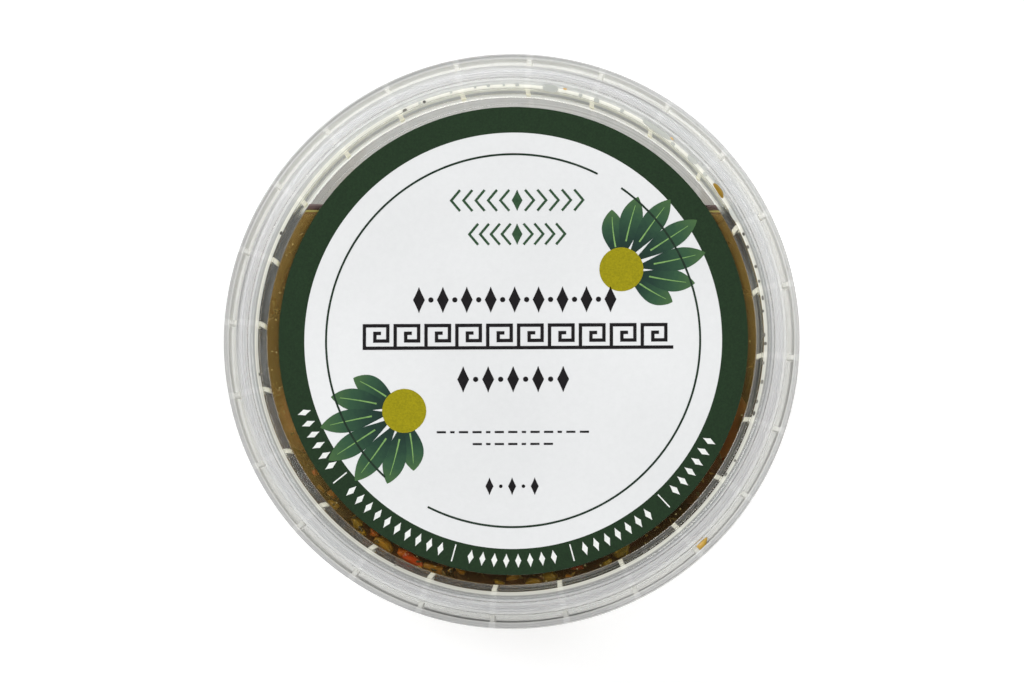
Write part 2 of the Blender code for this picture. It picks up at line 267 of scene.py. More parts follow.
def clear_plastic(name, milk, grazing, tints, veils=(), ticks=0.0, dark_band=None):
    """Clear moulded polypropylene, IOR 1.49.

    It bends light as the real resin does, under a veil of the resin's milk. The veil grows towards
    grazing angles. Where the resin stands on edge in rings it follows veils, which hold the milk
    and also the rings' painted highlights and painted shade: each is a height, the values by radius
    that hold above that height, and whether they hold only on the side that the marinade leaves
    free. Fine streaks round the axis vary veil and tint.
    Lighter ticks are painted over the ribs under the rim: painted light where the ribs catch it. A
    dark band by radius, (stops, direction, start, end, amount), is painted shade in the hollow
    between two walls, on one side only. Painted shade also darkens the lower side, and the rim most
    at the bottom and the left.
    Lamps shine straight through, which keeps what lies inside lit.
    """
    material, tree = empty_material(name)
    coords = add(tree, "TexCoord").outputs["Object"]
    split = add(tree, "SeparateXYZ", {0: coords})
    streaks = flow_lines(tree, coords, 1400.0, 0.45)
    flow = add(tree, "TexNoise", {"Vector": streaks, "Scale": 1.0, "Detail": 2.0, "Roughness": 0.6})
    spread = {"Value": flow, "From Min": 0.32, "From Max": 0.68}
    drift = add(tree, "MapRange", {**spread, "To Min": 0.82, "To Max": 1.15})
    facing = add(tree, "LayerWeight", {"Blend": 0.5})
    along = add(tree, "Math", {0: facing.outputs["Facing"], 1: 2.2}, operation="POWER")
    veil = add(tree, "Math", {0: along, 1: grazing, 2: milk}, operation="MULTIPLY_ADD")
    free = {"Value": split.outputs[1], "From Min": 26.0 * MM, "From Max": 28.0 * MM}
    free_side = add(tree, "MapRange", free)
    for height, stops, only_free in veils:
        limits = {"From Min": height - 0.15 * MM, "From Max": height + 0.15 * MM}
        upper = add(tree, "MapRange", {"Value": split.outputs[2], **limits})
        more = radial_ramp(tree, coords, stops)
        more = add(tree, "Math", {0: more, 1: upper}, operation="MULTIPLY")
        if only_free:
            sides = {0: more, 1: free_side}
            more = add(tree, "Math", sides, operation="MULTIPLY")
        veil = add(tree, "Math", {0: veil, 1: more}, operation="ADD")
    # Painted shade in the hollow between two walls, on one side only: more veil and a darker tint.
    if dark_band:
        band_stops, direction, start, end, amount = dark_band
        towards = {0: coords, 1: direction}
        reach = add(tree, "VectorMath", towards, operation="DOT_PRODUCT")
        side = {"Value": reach.outputs["Value"], "From Min": start, "From Max": end}
        dark_side = add(tree, "MapRange", {**side, "To Max": amount})
        band = radial_ramp(tree, coords, band_stops)
        line = add(tree, "Math", {0: band, 1: dark_side}, operation="MULTIPLY")
        veil = add(tree, "Math", {0: veil, 1: line}, operation="ADD")
    veil = add(tree, "Math", {0: veil, 1: drift}, operation="MULTIPLY")
    veil = add(tree, "Math", {0: veil, 1: 0.95}, operation="MINIMUM")

    # Painted shade: darker towards the lower side, more at the rim's bottom and left.
    full_side = {"Value": split.outputs[1], "From Min": -60 * MM, "From Max": 40 * MM}
    shade = add(tree, "MapRange", {**full_side, "To Min": 0.73, "To Max": 1.0})
    rings = add(tree, "MapRange", {**spread, "To Min": 0.90, "To Max": 1.06})
    shade = add(tree, "Math", {0: shade, 1: rings}, operation="MULTIPLY")
    low = {"Value": split.outputs[1], "From Min": -55 * MM, "From Max": -56.5 * MM}
    low_rim = add(tree, "MapRange", {**low, "To Max": 0.13})
    left = {"Value": split.outputs[0], "From Min": -47 * MM, "From Max": -55 * MM}
    left_rim = add(tree, "MapRange", {**left, "To Max": 0.07})
    painted_rim_shade = add(tree, "Math", {0: low_rim, 1: left_rim}, operation="ADD")
    shade = add(tree, "Math", {0: shade, 1: painted_rim_shade}, operation="SUBTRACT")
    # Painted light: lighter ticks over the ribs under the rim.
    clockwise = add(tree, "Math", {0: split.outputs[0], 1: split.outputs[1]}, operation="ARCTAN2")
    turn = add(
        tree, "Math", {0: clockwise, 1: float(RIBS), 2: -RIBS * FIRST_RIB}, operation="MULTIPLY_ADD"
    )
    wave = add(tree, "Math", {0: turn}, operation="COSINE")
    tick = add(tree, "MapRange", {"Value": wave, "From Min": 0.95, "From Max": 0.975})
    shade = add(tree, "Math", {0: tick, 1: ticks, 2: shade}, operation="MULTIPLY_ADD")
    # Painted shade: the hollow's band darkens the tint.
    if dark_band:
        shade = add(tree, "Math", {0: shade, 1: line}, operation="SUBTRACT")
    tint = radial_ramp(tree, coords, tints)
    shaded = add(tree, "VectorMath", {0: tint, "Scale": shade}, operation="SCALE")

    lines = flow_lines(tree, coords, 700.0, 1.2)
    ripple = add(tree, "TexNoise", {"Vector": lines, "Scale": 1.0, "Detail": 1.0})
    bump = add(tree, "Bump", {"Strength": 0.02, "Distance": 0.00008, "Height": ripple})
    resin = {"Base Color": shaded, "Roughness": 0.3, "IOR": 1.49}
    body = add(tree, "BsdfPrincipled", {**resin, "Normal": bump})
    clear = {"Color": (0.965, 0.968, 0.962, 1.0), "Roughness": 0.0, "IOR": 1.49}
    glass = add(tree, "BsdfGlass", {**clear, "Normal": bump})
    mix = add(tree, "MixShader", {0: veil, 1: glass, 2: body})
    passing = add(tree, "BsdfTransparent", {"Color": (0.9, 0.9, 0.9, 1.0)})
    path = add(tree, "LightPath")
    lit_through = add(tree, "MixShader", {0: path.outputs["Is Shadow Ray"], 1: mix, 2: passing})
    add(tree, "OutputMaterial", {"Surface": lit_through})
    return material


tub_profile = rounded(
    [
        (0, FLOOR_TOP), (FOOT_INNER_RADIUS - 2.2 * MM, FLOOR_TOP),
        (FOOT_INNER_RADIUS - 1.2 * MM, FLOOR_TOP - FOOT_HEIGHT),
        (FOOT_OUTER_RADIUS - 0.7 * MM, FLOOR_TOP - FOOT_HEIGHT),
        (HEEL_RADIUS - WALL - 0.6 * MM, FLOOR_TOP - FOOT_HEIGHT + 0.6 * MM),
        (HEEL_RADIUS - WALL, HEEL_HEIGHT), (SHOULDER_RADIUS - WALL, SHOULDER_HEIGHT),
        (SEAL_INNER_RADIUS, SEAL_TOP - 1.0 * MM), (SEAL_INNER_RADIUS + 0.1 * MM, SEAL_TOP),
        (SEAL_OUTER_RADIUS - 0.1 * MM, SEAL_TOP), (SEAL_OUTER_RADIUS, SEAL_TOP - 1.9 * MM),
        (SHOULDER_RADIUS + 0.3 * MM, SEAL_TOP - 2.7 * MM), (SHOULDER_RADIUS + 0.3 * MM, FLANGE_TOP),
        (COLLAR_INNER_RADIUS, FLANGE_TOP), (COLLAR_INNER_RADIUS + 0.05 * MM, COLLAR_TOP),
        (OUTER_RADIUS, COLLAR_TOP), (OUTER_RADIUS, FLANGE_BOTTOM),
        (SHOULDER_RADIUS + 0.6 * MM, FLANGE_BOTTOM), (SHOULDER_RADIUS, SHOULDER_HEIGHT),
        (HEEL_RADIUS, HEEL_HEIGHT), (HEEL_RADIUS - 1.0 * MM, FOOT_HEIGHT), (FOOT_OUTER_RADIUS, 0),
        (FOOT_INNER_RADIUS, 0), (FOOT_INNER_RADIUS - 1.4 * MM, FOOT_HEIGHT), (0, FOOT_HEIGHT),
    ],
    0.35 * MM,
)
# The white band at 58.3 to 59.2 mm, where one looks down the collar's inner wall, is partly the resin's
# milk and partly painted light in the gap beside the lid's skirt. The gap's dark band on the lower side
# is painted shade.
collar_veils = [
    (54.0, 0.0), (55.2, 0.16), (57.2, 0.22), (57.4, 0.50), (58.1, 0.62), (58.3, 0.92), (59.2, 0.92),
    (59.4, 0.74), (60.0, 0.70),
]
gap_stops = [(58.2, 0.0), (58.45, 1.0), (58.75, 1.0), (58.95, 0.0)]
tub_plastic = clear_plastic(
    "clear_polypropylene_tub",
    milk=0.01,
    grazing=0.90,
    tints=[
        (0.0, "#b4b4b0"), (54.0, "#b4b4b1"), (57.4, "#b7b7b0"), (58.0, "#bdbdb5"), (58.3, "#eeeeea"),
        (59.0, "#eeeeea"), (59.3, "#bcbcba"), (60.0, "#bcbcba"),
    ],
    veils=[(50.0 * MM, collar_veils, False)],
    ticks=0.16,
    dark_band=(gap_stops, (0.5, -1.0, 0.0), -5 * MM, 35 * MM, 0.47),
)
tub = piece("tub_body", pole_body(turned_rows(tub_profile)), tub_plastic)
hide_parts("tub")

# The ribs' white and their cream inner ends are partly the resin's milk and partly painted light, which
# the ribs catch and carry along their length.
rib_milk_and_light = clear_plastic(
    "polypropylene_ribs_milk_and_painted_light",
    milk=0.88,
    grazing=0.10,
    tints=[(50.9, "#f2efc8"), (51.6, "#e6e3d2"), (60.0, "#ecece8")],
)
collar_ribs = piece(
    "collar_ribs",
    pole_body(rib_rows(57.5 * MM, COLLAR_INNER_RADIUS + 0.3 * MM, FLANGE_TOP - 0.3 * MM, 54.6 * MM)),
    rib_milk_and_light,
)

# The olives: whole dark olives, stoned, so that each has a round hole at one end, cured and wet with
# oil. They keep the place they took while the tub stood on its edge. The places are worked out as
# the CAD source works them out, with the same draws, so that each lies where its solid does.
OLIVES = 78
OLIVE_SEED = 11
OLIVE_HALF_LENGTH = (9.6 * MM, 11.6 * MM)
OLIVE_RADIUS = (6.9 * MM, 8.0 * MM)
SETTLING_ROUNDS = 260
CLEARANCE = 0.4 * MM
LEVEL_Y = 17.0 * MM
LEVEL_SLOPE = -0.036
LID_GAP = 5.0 * MM
LID_GAP_START = -10.0 * MM
LID_GAP_END = 2.0 * MM
CORE_DEPTH = 5.6 * MM
SHOWN_DEPTH = 12.5 * MM
PANEL_BOTTOM = 52.8 * MM


def wall_radius(height):
    """The inside radius of the tub at a height, along its straight tapering wall."""
    inner_heel = HEEL_RADIUS - WALL
    share = (height - HEEL_HEIGHT) / (SHOULDER_HEIGHT - HEEL_HEIGHT)
    return inner_heel + share * (SHOULDER_RADIUS - HEEL_RADIUS)


def ceiling(y):
    """The height that the olives reach at y: the lid's underside, less a gap that opens smoothly."""
    share = np.clip((y - LID_GAP_START) / (LID_GAP_END - LID_GAP_START), 0.0, 1.0)
    return PANEL_BOTTOM - CLEARANCE - LID_GAP * share * share * (3 - 2 * share)


def settle_olives():
    """Olives tipped in at random, then pushed apart round by round until they lie side by side.

    Each olive is three balls in a row. Balls of two olives that cross are pushed apart, and balls
    that cross the wall, the floor, the lid or the level plane are pushed back in. A push off the
    middle also turns the olive. The places are rounded to a hundredth of a millimetre.
    """
    draw = np.random.RandomState(OLIVE_SEED)
    half_length = draw.uniform(*OLIVE_HALF_LENGTH, OLIVES)
    radius = draw.uniform(*OLIVE_RADIUS, OLIVES)
    angle = draw.uniform(0, math.tau, OLIVES)
    reach = np.sqrt(draw.uniform(0, 1, OLIVES)) * 40 * MM
    height = draw.uniform(10 * MM, 44 * MM, OLIVES)
    middle = np.stack([reach * np.cos(angle), reach * np.sin(angle) * 0.7 - 12 * MM, height], axis=1)
    along = draw.normal(size=(OLIVES, 3))
    along /= np.linalg.norm(along, axis=1, keepdims=True)

    end_radius = 0.7 * radius
    offset = np.stack([-(half_length - end_radius), 0 * radius, half_length - end_radius], axis=1)
    sizes = np.stack([end_radius, radius, end_radius], axis=1).reshape(-1)
    owner = np.repeat(np.arange(OLIVES), 3)
    reach_sum = sizes[:, None] + sizes[None, :]
    same = owner[:, None] == owner[None, :]
    level_normal = np.array([-LEVEL_SLOPE, 1.0, 0.0]) / math.hypot(1.0, LEVEL_SLOPE)

    for _ in range(SETTLING_ROUNDS):
        balls = middle[:, None, :] + offset[:, :, None] * along[:, None, :]
        flat = balls.reshape(-1, 3)
        apart = flat[:, None, :] - flat[None, :, :]
        distance = np.sqrt((apart**2).sum(axis=2)) + 1e-9
        overlap = np.where(same, 0.0, np.maximum(reach_sum - distance, 0.0))
        push = ((0.35 * overlap / distance)[:, :, None] * apart).sum(axis=1)

        across = np.hypot(flat[:, 0], flat[:, 1]) + 1e-9
        beyond = np.maximum(across + sizes + CLEARANCE - wall_radius(flat[:, 2]), 0.0)
        push[:, :2] -= flat[:, :2] * (beyond / across)[:, None]
        push[:, 2] += np.maximum(FLOOR_TOP + CLEARANCE + sizes - flat[:, 2], 0.0)
        push[:, 2] -= np.maximum(flat[:, 2] + sizes - ceiling(flat[:, 1]), 0.0)
        over_level = flat @ level_normal + sizes - LEVEL_Y
        push -= np.maximum(over_level, 0.0)[:, None] * level_normal

        push = push.reshape(OLIVES, 3, 3)
        middle = middle + push.sum(axis=1) / 2
        turn = (offset[:, :, None] * push).sum(axis=1) / half_length[:, None] ** 2
        along = along + turn - (turn * along).sum(axis=1, keepdims=True) * along
        along /= np.linalg.norm(along, axis=1, keepdims=True)
    return np.round(middle, 5), np.round(along, 3), half_length, radius


def wall_depth(middle):
    """How far a point lies behind the nearest side of the heap: wall, floor, lid or level plane."""
    sides = [
        wall_radius(middle[:, 2]) - np.hypot(middle[:, 0], middle[:, 1]), middle[:, 2] - FLOOR_TOP,
        ceiling(middle[:, 1]) - middle[:, 2], LEVEL_Y + LEVEL_SLOPE * middle[:, 0] - middle[:, 1],
    ]
    return np.min(sides, axis=0)


def corner_dip(x, y):
    """How far olives dip below the lid in the corner by the wall, where the small bits gather.

    It is up to 2 mm from 45 mm out, and only round the side that was lowest in the photo.
    """
    clockwise = np.degrees(np.arctan2(x, y)) % 360
    round_bottom = np.clip((clockwise - 146) / 8, 0, 1) * np.clip((241 - clockwise) / 8, 0, 1)
    return 2.0 * MM * round_bottom * np.clip((np.hypot(x, y) - 45 * MM) / (3 * MM), 0, 1)


def pressed_in(points):
    """The points, with those that cross the tub's inside brought back to it: olives flatten there."""
    x, y, z = np.moveaxis(points, -1, 0)
    z = np.clip(z, FLOOR_TOP + CLEARANCE, PANEL_BOTTOM - CLEARANCE - corner_dip(x, y))
    limit = (wall_radius(z) - CLEARANCE) / np.hypot(x, y)
    share = np.minimum(1.0, limit)
    return np.stack([x * share, y * share, z], axis=-1)


def olive_rows(middle, along, half_length, radius, seed):
    """Rows of points round each olive: r(s) = R sin(s)^0.92, axial place -L cos(s).

    The last rows turn in over a lip and line the stone's hole. Low waves round and along the skin,
    with a phase of its own for each olive, give it its dents and wrinkles.
    """
    draw = np.random.RandomState(seed)
    helper = np.where(np.abs(along[:, 2:]) < 0.9, [[0.0, 0.0, 1.0]], [[1.0, 0.0, 0.0]])
    side = np.cross(along, helper)
    side /= np.linalg.norm(side, axis=1, keepdims=True)
    other = np.cross(along, side)
    slant = np.linspace(0, 0.885 * math.pi, 26)
    axial = np.concatenate([-np.cos(slant), [0.965, 0.955, 0.90, 0.72, 0.45, 0.42]])
    out = np.concatenate([np.sin(slant) ** 0.92, [0.31, 0.255, 0.225, 0.215, 0.19, 0.0]])
    turns = 34
    around = math.tau * np.arange(turns) / turns
    phase = draw.uniform(0, math.tau, (6, len(middle), 1, 1))
    s = np.linspace(0, 1, len(out))[None, :, None] * math.tau
    a = around[None, None, :]
    waves = (
        0.030 * np.sin(2 * a + phase[0] + 0.7 * s)
        + 0.018 * np.sin(3 * a + phase[1] - 1.1 * s)
        + 0.012 * np.sin(7 * a + phase[2] + 1.3 * np.sin(2 * s + phase[3]))
        + 0.014 * np.sin(5 * s + phase[4] + 1.5 * np.sin(a + phase[5]))
    )
    reach = out[None, :, None] * (1 + waves)
    arm = side[:, None, None] * np.cos(a)[..., None] + other[:, None, None] * np.sin(a)[..., None]
    bend = 0.05 * np.sin(s / 2)
    lift = (side * half_length[:, None])[:, None, None] * bend[..., None]
    rows = (
        middle[:, None, None]
        + along[:, None, None] * (axial[None, :, None] * half_length[:, None, None])[..., None]
        + arm * (reach * radius[:, None, None])[..., None]
        + lift
    )
    return rows


def skin_tone(middle):
    """Each olive's tone, from 0, nearly black, to 1 and over, light brown, by place round the wall."""
    draw = np.random.RandomState(5)
    tone = draw.uniform(0.0, 0.62, len(middle)) ** 1.2
    clockwise = np.degrees(np.arctan2(middle[:, 0], middle[:, 1])) % 360
    high = (middle[:, 2] > 34 * MM) & (np.hypot(middle[:, 0], middle[:, 1]) > 36 * MM)
    tone = np.where(high & (clockwise > 95) & (clockwise < 118), 1.25, tone)
    tone = np.where(high & (clockwise > 118) & (clockwise < 130), 0.40, tone)
    tone = np.where(high & (clockwise > 130) & (clockwise < 152), 0.12, tone)
    tone = np.where(high & (clockwise > 155) & (clockwise < 205), 0.30, tone)
    return np.where(high & (clockwise > 232) & (clockwise < 258), 0.74, tone)


def olive_skin(name):
    """Skin of a cured dark olive, mottled where the brine has faded it.

    The oil round it bends light nearly as the skin does, so it has little gloss of its own.
    """
    material, tree = empty_material(name)
    coords = add(tree, "TexCoord").outputs["Object"]
    tone = add(tree, "Attribute", attribute_name="skin_tone")
    mottle = add(tree, "TexNoise", {"Vector": coords, "Scale": 170.0, "Detail": 5.0, "Roughness": 0.6})
    patch = add(tree, "MapRange", {"Value": mottle, "To Min": -0.30, "To Max": 0.30})
    place = add(tree, "Math", {0: tone.outputs["Fac"], 1: patch}, operation="ADD")
    colour = ramp(
        tree,
        place,
        [(0.0, "#24110f"), (0.25, "#40201b"), (0.5, "#5f382b"), (0.75, "#805539"), (1.0, "#dcae7c")],
    )
    pores = add(tree, "TexVoronoi", {"Vector": coords, "Scale": 1500.0})
    wrinkle = add(tree, "TexNoise", {"Vector": coords, "Scale": 420.0, "Detail": 2.0, "Distortion": 0.4})
    relief = add(
        tree, "Math", {0: pores.outputs["Distance"], 1: 0.08, 2: wrinkle}, operation="MULTIPLY_ADD"
    )
    bump = add(tree, "Bump", {"Strength": 0.16, "Distance": 0.00018, "Height": relief})
    shader = add(
        tree, "BsdfPrincipled", {"Base Color": colour, "Roughness": 0.34, "IOR": 1.22, "Normal": bump}
    )
    add(tree, "OutputMaterial", {"Surface": shader})
    return material


olive_middle, olive_along, olive_half_length, olive_radius = settle_olives()
shown = wall_depth(olive_middle) < SHOWN_DEPTH
olive_middle = olive_middle[shown]
olive_shape = pressed_in(
    olive_rows(olive_middle, olive_along[shown], olive_half_length[shown], olive_radius[shown], 21)
)
olive_material = olive_skin("cured_olive_skin")
olives = piece("stoned_olives", pole_body(olive_shape), olive_material, sharp=80)
tones = olives.data.attributes.new("skin_tone", "FLOAT", "POINT")
points_each = len(olives.data.vertices) // len(olive_middle)
tones.data.foreach_set("value", np.repeat(skin_tone(olive_middle), points_each).astype(np.float32))
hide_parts("olives")


def level_outline(height, level, slope, draw_in, arc_places, chord_places):
    """A circle cut by the level line y = level + slope x, at each height.

    The outline runs anticlockwise: the arc from the line's left end round the bottom to its right
    end, then back along the line. The draw_in is taken from the circle's radius.
    """
    radius = wall_radius(height) - draw_in
    tilt = math.atan(slope)
    distance = level * math.cos(tilt)
    half_angle = np.arccos(distance / radius)
    start = math.pi / 2 + tilt + half_angle
    sweep = math.tau - 2 * half_angle
    angle = start[:, None] + sweep[:, None] * np.linspace(0, 1, arc_places)[None]
    arc = np.stack([radius[:, None] * np.cos(angle), radius[:, None] * np.sin(angle)], axis=-1)
    t = np.linspace(0, 1, chord_places + 2)[1:-1][None, :, None]
    chord = arc[:, -1:] * (1 - t) + arc[:, :1] * t
    return np.concatenate([arc, chord], axis=1)


FLAT_SHARES = np.array([0.0, 0.35, 0.7, 0.93])


def stacked(outlines, heights, centre):
    """Rows of a body from its level outlines, the upper first, closed by a flat top and bottom.

    A flat is the end outline drawn towards the centre, to each of the shares of its size.
    """
    top = centre + (outlines[0][None] - centre) * FLAT_SHARES[:, None, None]
    bottom = centre + (outlines[-1][None] - centre) * FLAT_SHARES[::-1, None, None]
    flat = np.concatenate([top, outlines, bottom])
    z = np.pad(heights, len(FLAT_SHARES), mode="edge")
    z = np.broadcast_to(z[:, None, None], (*flat.shape[:2], 1))
    return np.concatenate([flat, z], axis=-1)


# The heap's core: it stands for the hidden olives, and what one sees of it between the outer ones is
# dark, oily and lumpy.
core_top = PANEL_BOTTOM - LID_GAP - 0.6 * CORE_DEPTH
core_heights = np.linspace(core_top, FLOOR_TOP + 0.8 * CORE_DEPTH, 24)
core_level = LEVEL_Y - CORE_DEPTH
core_outline = level_outline(core_heights, core_level, LEVEL_SLOPE, CORE_DEPTH, 140, 60)
core_rows = stacked(core_outline, core_heights, np.array([0.0, -10 * MM]))
lump = 1.0 * MM * np.sin(core_rows[..., 0] * 430) * np.sin(core_rows[..., 1] * 470 + 1.0)
core_rows[..., 2] += lump * np.sin(core_rows[..., 2] * 400)
core_body = pole_body(core_rows)
core = piece("heap_core", core_body, olive_skin("shaded_olive_flesh"), sharp=80)
core_tone = core.data.attributes.new("skin_tone", "FLOAT", "POINT")
core_tone.data.foreach_set("value", np.full(len(core.data.vertices), 0.12, np.float32))
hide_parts("olives")

# The marinade: cloudy golden oil with herbs in it, chilled and stiff. Its level is the upright plane
# it took while the tub stood on its edge. It fills the tub to just inside the wall.
OIL_LEVEL = 27.4 * MM
OIL_SLOPE = -0.006
INTO_WALL = 0.3 * MM
STEP_GAP_START = 51.15 * MM
STEP_GAP_BOTTOM = 52.2 * MM


def marinade_oil():
    """Marinade: golden oil floats on dark brine, and both take up light with depth.

    Fine cloud scatters light at the surface, much in the oil, little in the brine, which lay lower
    while the tub stood on its edge. In the narrow gap beside the lid's step the marinade is dark
    and dull as painted shade, palest at the upper left as painted light. Along its level a thin
    rim is painted yellow as a painted glint, under a lip, painted dark as painted shade, that has
    crept up the lid.
    """
    material, tree = empty_material("golden_marinade_oil")
    coords = add(tree, "TexCoord").outputs["Object"]
    split = add(tree, "SeparateXYZ", {0: coords})
    cloud = add(tree, "TexNoise", {"Vector": coords, "Scale": 60.0, "Detail": 4.0, "Roughness": 0.55})
    height_then = add(
        tree, "Math", {0: split.outputs[0], 1: -0.25, 2: split.outputs[1]}, operation="MULTIPLY_ADD"
    )
    parting = {"Value": height_then, "From Min": -31 * MM, "From Max": -12 * MM}
    floating = add(tree, "MapRange", {**parting, "To Min": 0.05, "To Max": 0.36})
    patchy = {"Value": cloud, "From Min": 0.3, "From Max": 0.7}
    uneven = add(tree, "MapRange", {**patchy, "To Min": 0.75, "To Max": 1.25})
    veil = add(tree, "Math", {0: floating, 1: uneven}, operation="MULTIPLY")
    golden = ramp(tree, cloud, [(0.3, "#a68a4c"), (0.7, "#93783c")])

    # Painted shade in the narrow gap beside the lid's step, lighter towards the upper left as painted
    # light.
    outside = {
        "Value": axis_distance(tree, coords),
        "From Min": STEP_GAP_START - 0.1 * MM,
        "From Max": STEP_GAP_START + 0.15 * MM,
    }
    beside_step = add(tree, "MapRange", outside)
    above = {"Value": split.outputs[2], "From Min": STEP_GAP_BOTTOM, "From Max": PANEL_BOTTOM}
    under_lid = add(tree, "MapRange", above)
    gap = add(tree, "Math", {0: beside_step, 1: under_lid}, operation="MULTIPLY")
    streak = add(
        tree, "TexNoise", {"Vector": flow_lines(tree, coords, 900.0, 6.0), "Scale": 1.0, "Detail": 3.0}
    )
    dark = ramp(tree, streak, [(0.3, "#383839"), (0.7, "#525556")])
    across = add(tree, "VectorMath", {0: coords, 1: (0.8, -0.6, 0.0)}, operation="DOT_PRODUCT")
    upper_left = {"Value": across.outputs["Value"], "From Min": -25 * MM, "From Max": -48 * MM}
    upper_left_painted_light = add(tree, "MapRange", {**upper_left, "To Min": 1.0, "To Max": 1.5})
    shaded = add(tree, "VectorMath", {0: dark, "Scale": upper_left_painted_light}, operation="SCALE")

    # Painted glint and painted shade along the level: a thin yellow line, under a dark lip where the
    # marinade crept up the lid.
    past = add(
        tree, "Math", {0: split.outputs[0], 1: -OIL_SLOPE, 2: split.outputs[1]}, operation="MULTIPLY_ADD"
    )
    edge = {"Value": past, "From Min": OIL_LEVEL - 1.1 * MM, "From Max": OIL_LEVEL + 1.4 * MM}
    edge_place = add(tree, "MapRange", edge)
    glint_and_lip_stops = [
        (0.0, "#6d5230"), (0.2, "#6a4c2c"), (0.28, "#9c9450"), (0.36, "#aea85a"), (0.44, "#4d3d38"),
        (0.7, "#5d4b4b"), (1.0, "#8a7c7c"),
    ]
    glint_and_lip_colour = ramp(tree, edge_place, glint_and_lip_stops)
    near_edge = add(tree, "MapRange", {**edge, "From Max": OIL_LEVEL - 0.7 * MM})
    at_top = {"Value": split.outputs[2], "From Min": 49.5 * MM, "From Max": 51.5 * MM}
    at_lid = add(tree, "MapRange", at_top)
    near_edge = add(tree, "Math", {0: near_edge, 1: at_lid}, operation="MULTIPLY")

    edges = {0: near_edge, 6: golden, 7: glint_and_lip_colour}
    golden_edged = add(tree, "Mix", edges, data_type="RGBA").outputs[2]
    beside = {0: gap, 6: golden_edged, 7: shaded}
    colour = add(tree, "Mix", beside, data_type="RGBA").outputs[2]
    dense = add(tree, "Math", {0: gap, 1: 0.75, 2: veil}, operation="MULTIPLY_ADD")
    dense = add(tree, "Math", {0: near_edge, 1: 0.4, 2: dense}, operation="MULTIPLY_ADD", use_clamp=True)
    finish = {"Base Color": colour, "Roughness": 0.2, "IOR": 1.47, "Specular IOR Level": 0.2}
    body = add(tree, "BsdfPrincipled", finish)
    clear = add(tree, "BsdfTransparent", {"Color": (1.0, 0.97, 0.88, 1.0)})
    mix = add(tree, "MixShader", {0: dense, 1: clear, 2: body})
    depth = add(tree, "VolumeAbsorption", {"Color": linear("#c2a04a"), "Density": 200.0})
    add(tree, "OutputMaterial", {"Surface": mix, "Volume": depth})
    return material


oil_heights = np.concatenate([
    np.linspace(PANEL_BOTTOM + 0.1 * MM, SHOULDER_HEIGHT, 8),
    np.linspace(SHOULDER_HEIGHT, HEEL_HEIGHT, 50)[1:],
    [2.2 * MM, 1.5 * MM],
])
ARC_PLACES = 260
CHORD_PLACES = 110
oil_outline = level_outline(
    np.clip(oil_heights, HEEL_HEIGHT, SHOULDER_HEIGHT),
    OIL_LEVEL,
    OIL_SLOPE,
    -INTO_WALL,
    ARC_PLACES,
    CHORD_PLACES,
)
heel_draw = 1 - 0.012 * np.clip((HEEL_HEIGHT - oil_heights) / (1.7 * MM), 0, 1)
oil_outline *= heel_draw[:, None, None]
oil_rows = stacked(oil_outline, oil_heights, np.array([0.0, -8 * MM]))
on_level = np.zeros(ARC_PLACES + CHORD_PLACES)
on_level[ARC_PLACES:] = 1.0
edge_z = np.minimum(PANEL_BOTTOM - oil_rows[..., 2], oil_rows[..., 2] - FLOOR_TOP) / (1.6 * MM)
creep = 1.3 * MM * np.exp(-np.clip(edge_z, 0, 9)) * on_level
swell = 0.25 * MM * np.sin(oil_rows[..., 0] * 170 + 1.1) * np.sin(oil_rows[..., 2] * 210) * on_level
flat_shares = np.concatenate([FLAT_SHARES, np.ones(len(oil_heights)), FLAT_SHARES[::-1]])
oil_rows[..., 1] += (creep + swell) * flat_shares[:, None]
oil = piece("marinade", pole_body(oil_rows), marinade_oil(), sharp=50)

# The bits in the marinade: diced yellow and orange pepper, slices of red chilli, flakes of herbs and
# small air bubbles. Some lie under the lid's edge, where the photo shows them, the rest round the wall.
def at(clockwise, radius, height):
    """Points at a clockwise angle in degrees from the top, a radius and a height."""
    turn = np.radians(clockwise)
    return np.stack(np.broadcast_arrays(radius * np.sin(turn), radius * np.cos(turn), height), -1)


def lump_rows(centres, sizes, turns, seed, roughness=0.12):
    """Rows of points of small lumps: ellipsoids with flattened sides and waves of their own.

    The lump's point is centre + (a |cos|^0.8, b |sin|^0.8) sin(s)^0.8 across and c cos(s) up, where
    a lies along the turn, and each direction is stretched by 1 + waves.
    """
    draw = np.random.RandomState(seed)
    count = len(centres)
    slant = np.linspace(0, math.pi, 11)[None, :, None]
    around = (math.tau * np.arange(16) / 16)[None, None, :]
    phase = draw.uniform(0, math.tau, (4, count, 1, 1))
    waves = (
        np.sin(2 * around + phase[0] + slant)
        + 0.8 * np.sin(3 * around + phase[1] - 2 * slant)
        + 0.5 * np.sin(5 * around + phase[2]) * np.sin(4 * slant + phase[3])
    )
    out = np.abs(np.sin(slant)) ** 0.8 * (1 + roughness * waves)
    cosine, sine = np.cos(around), np.sin(around)
    half = np.asarray(sizes)[:, None, None, :] / 2
    along = half[..., 0] * out * np.sign(cosine) * np.abs(cosine) ** 0.8
    aside = half[..., 1] * out * np.sign(sine) * np.abs(sine) ** 0.8
    up = half[..., 2] * np.cos(slant) * np.ones_like(around)
    turn = np.asarray(turns)[:, None, None]
    x = along * np.cos(turn) - aside * np.sin(turn)
    y = along * np.sin(turn) + aside * np.cos(turn)
    return np.stack([x, y, up], -1) + centres[:, None, None]


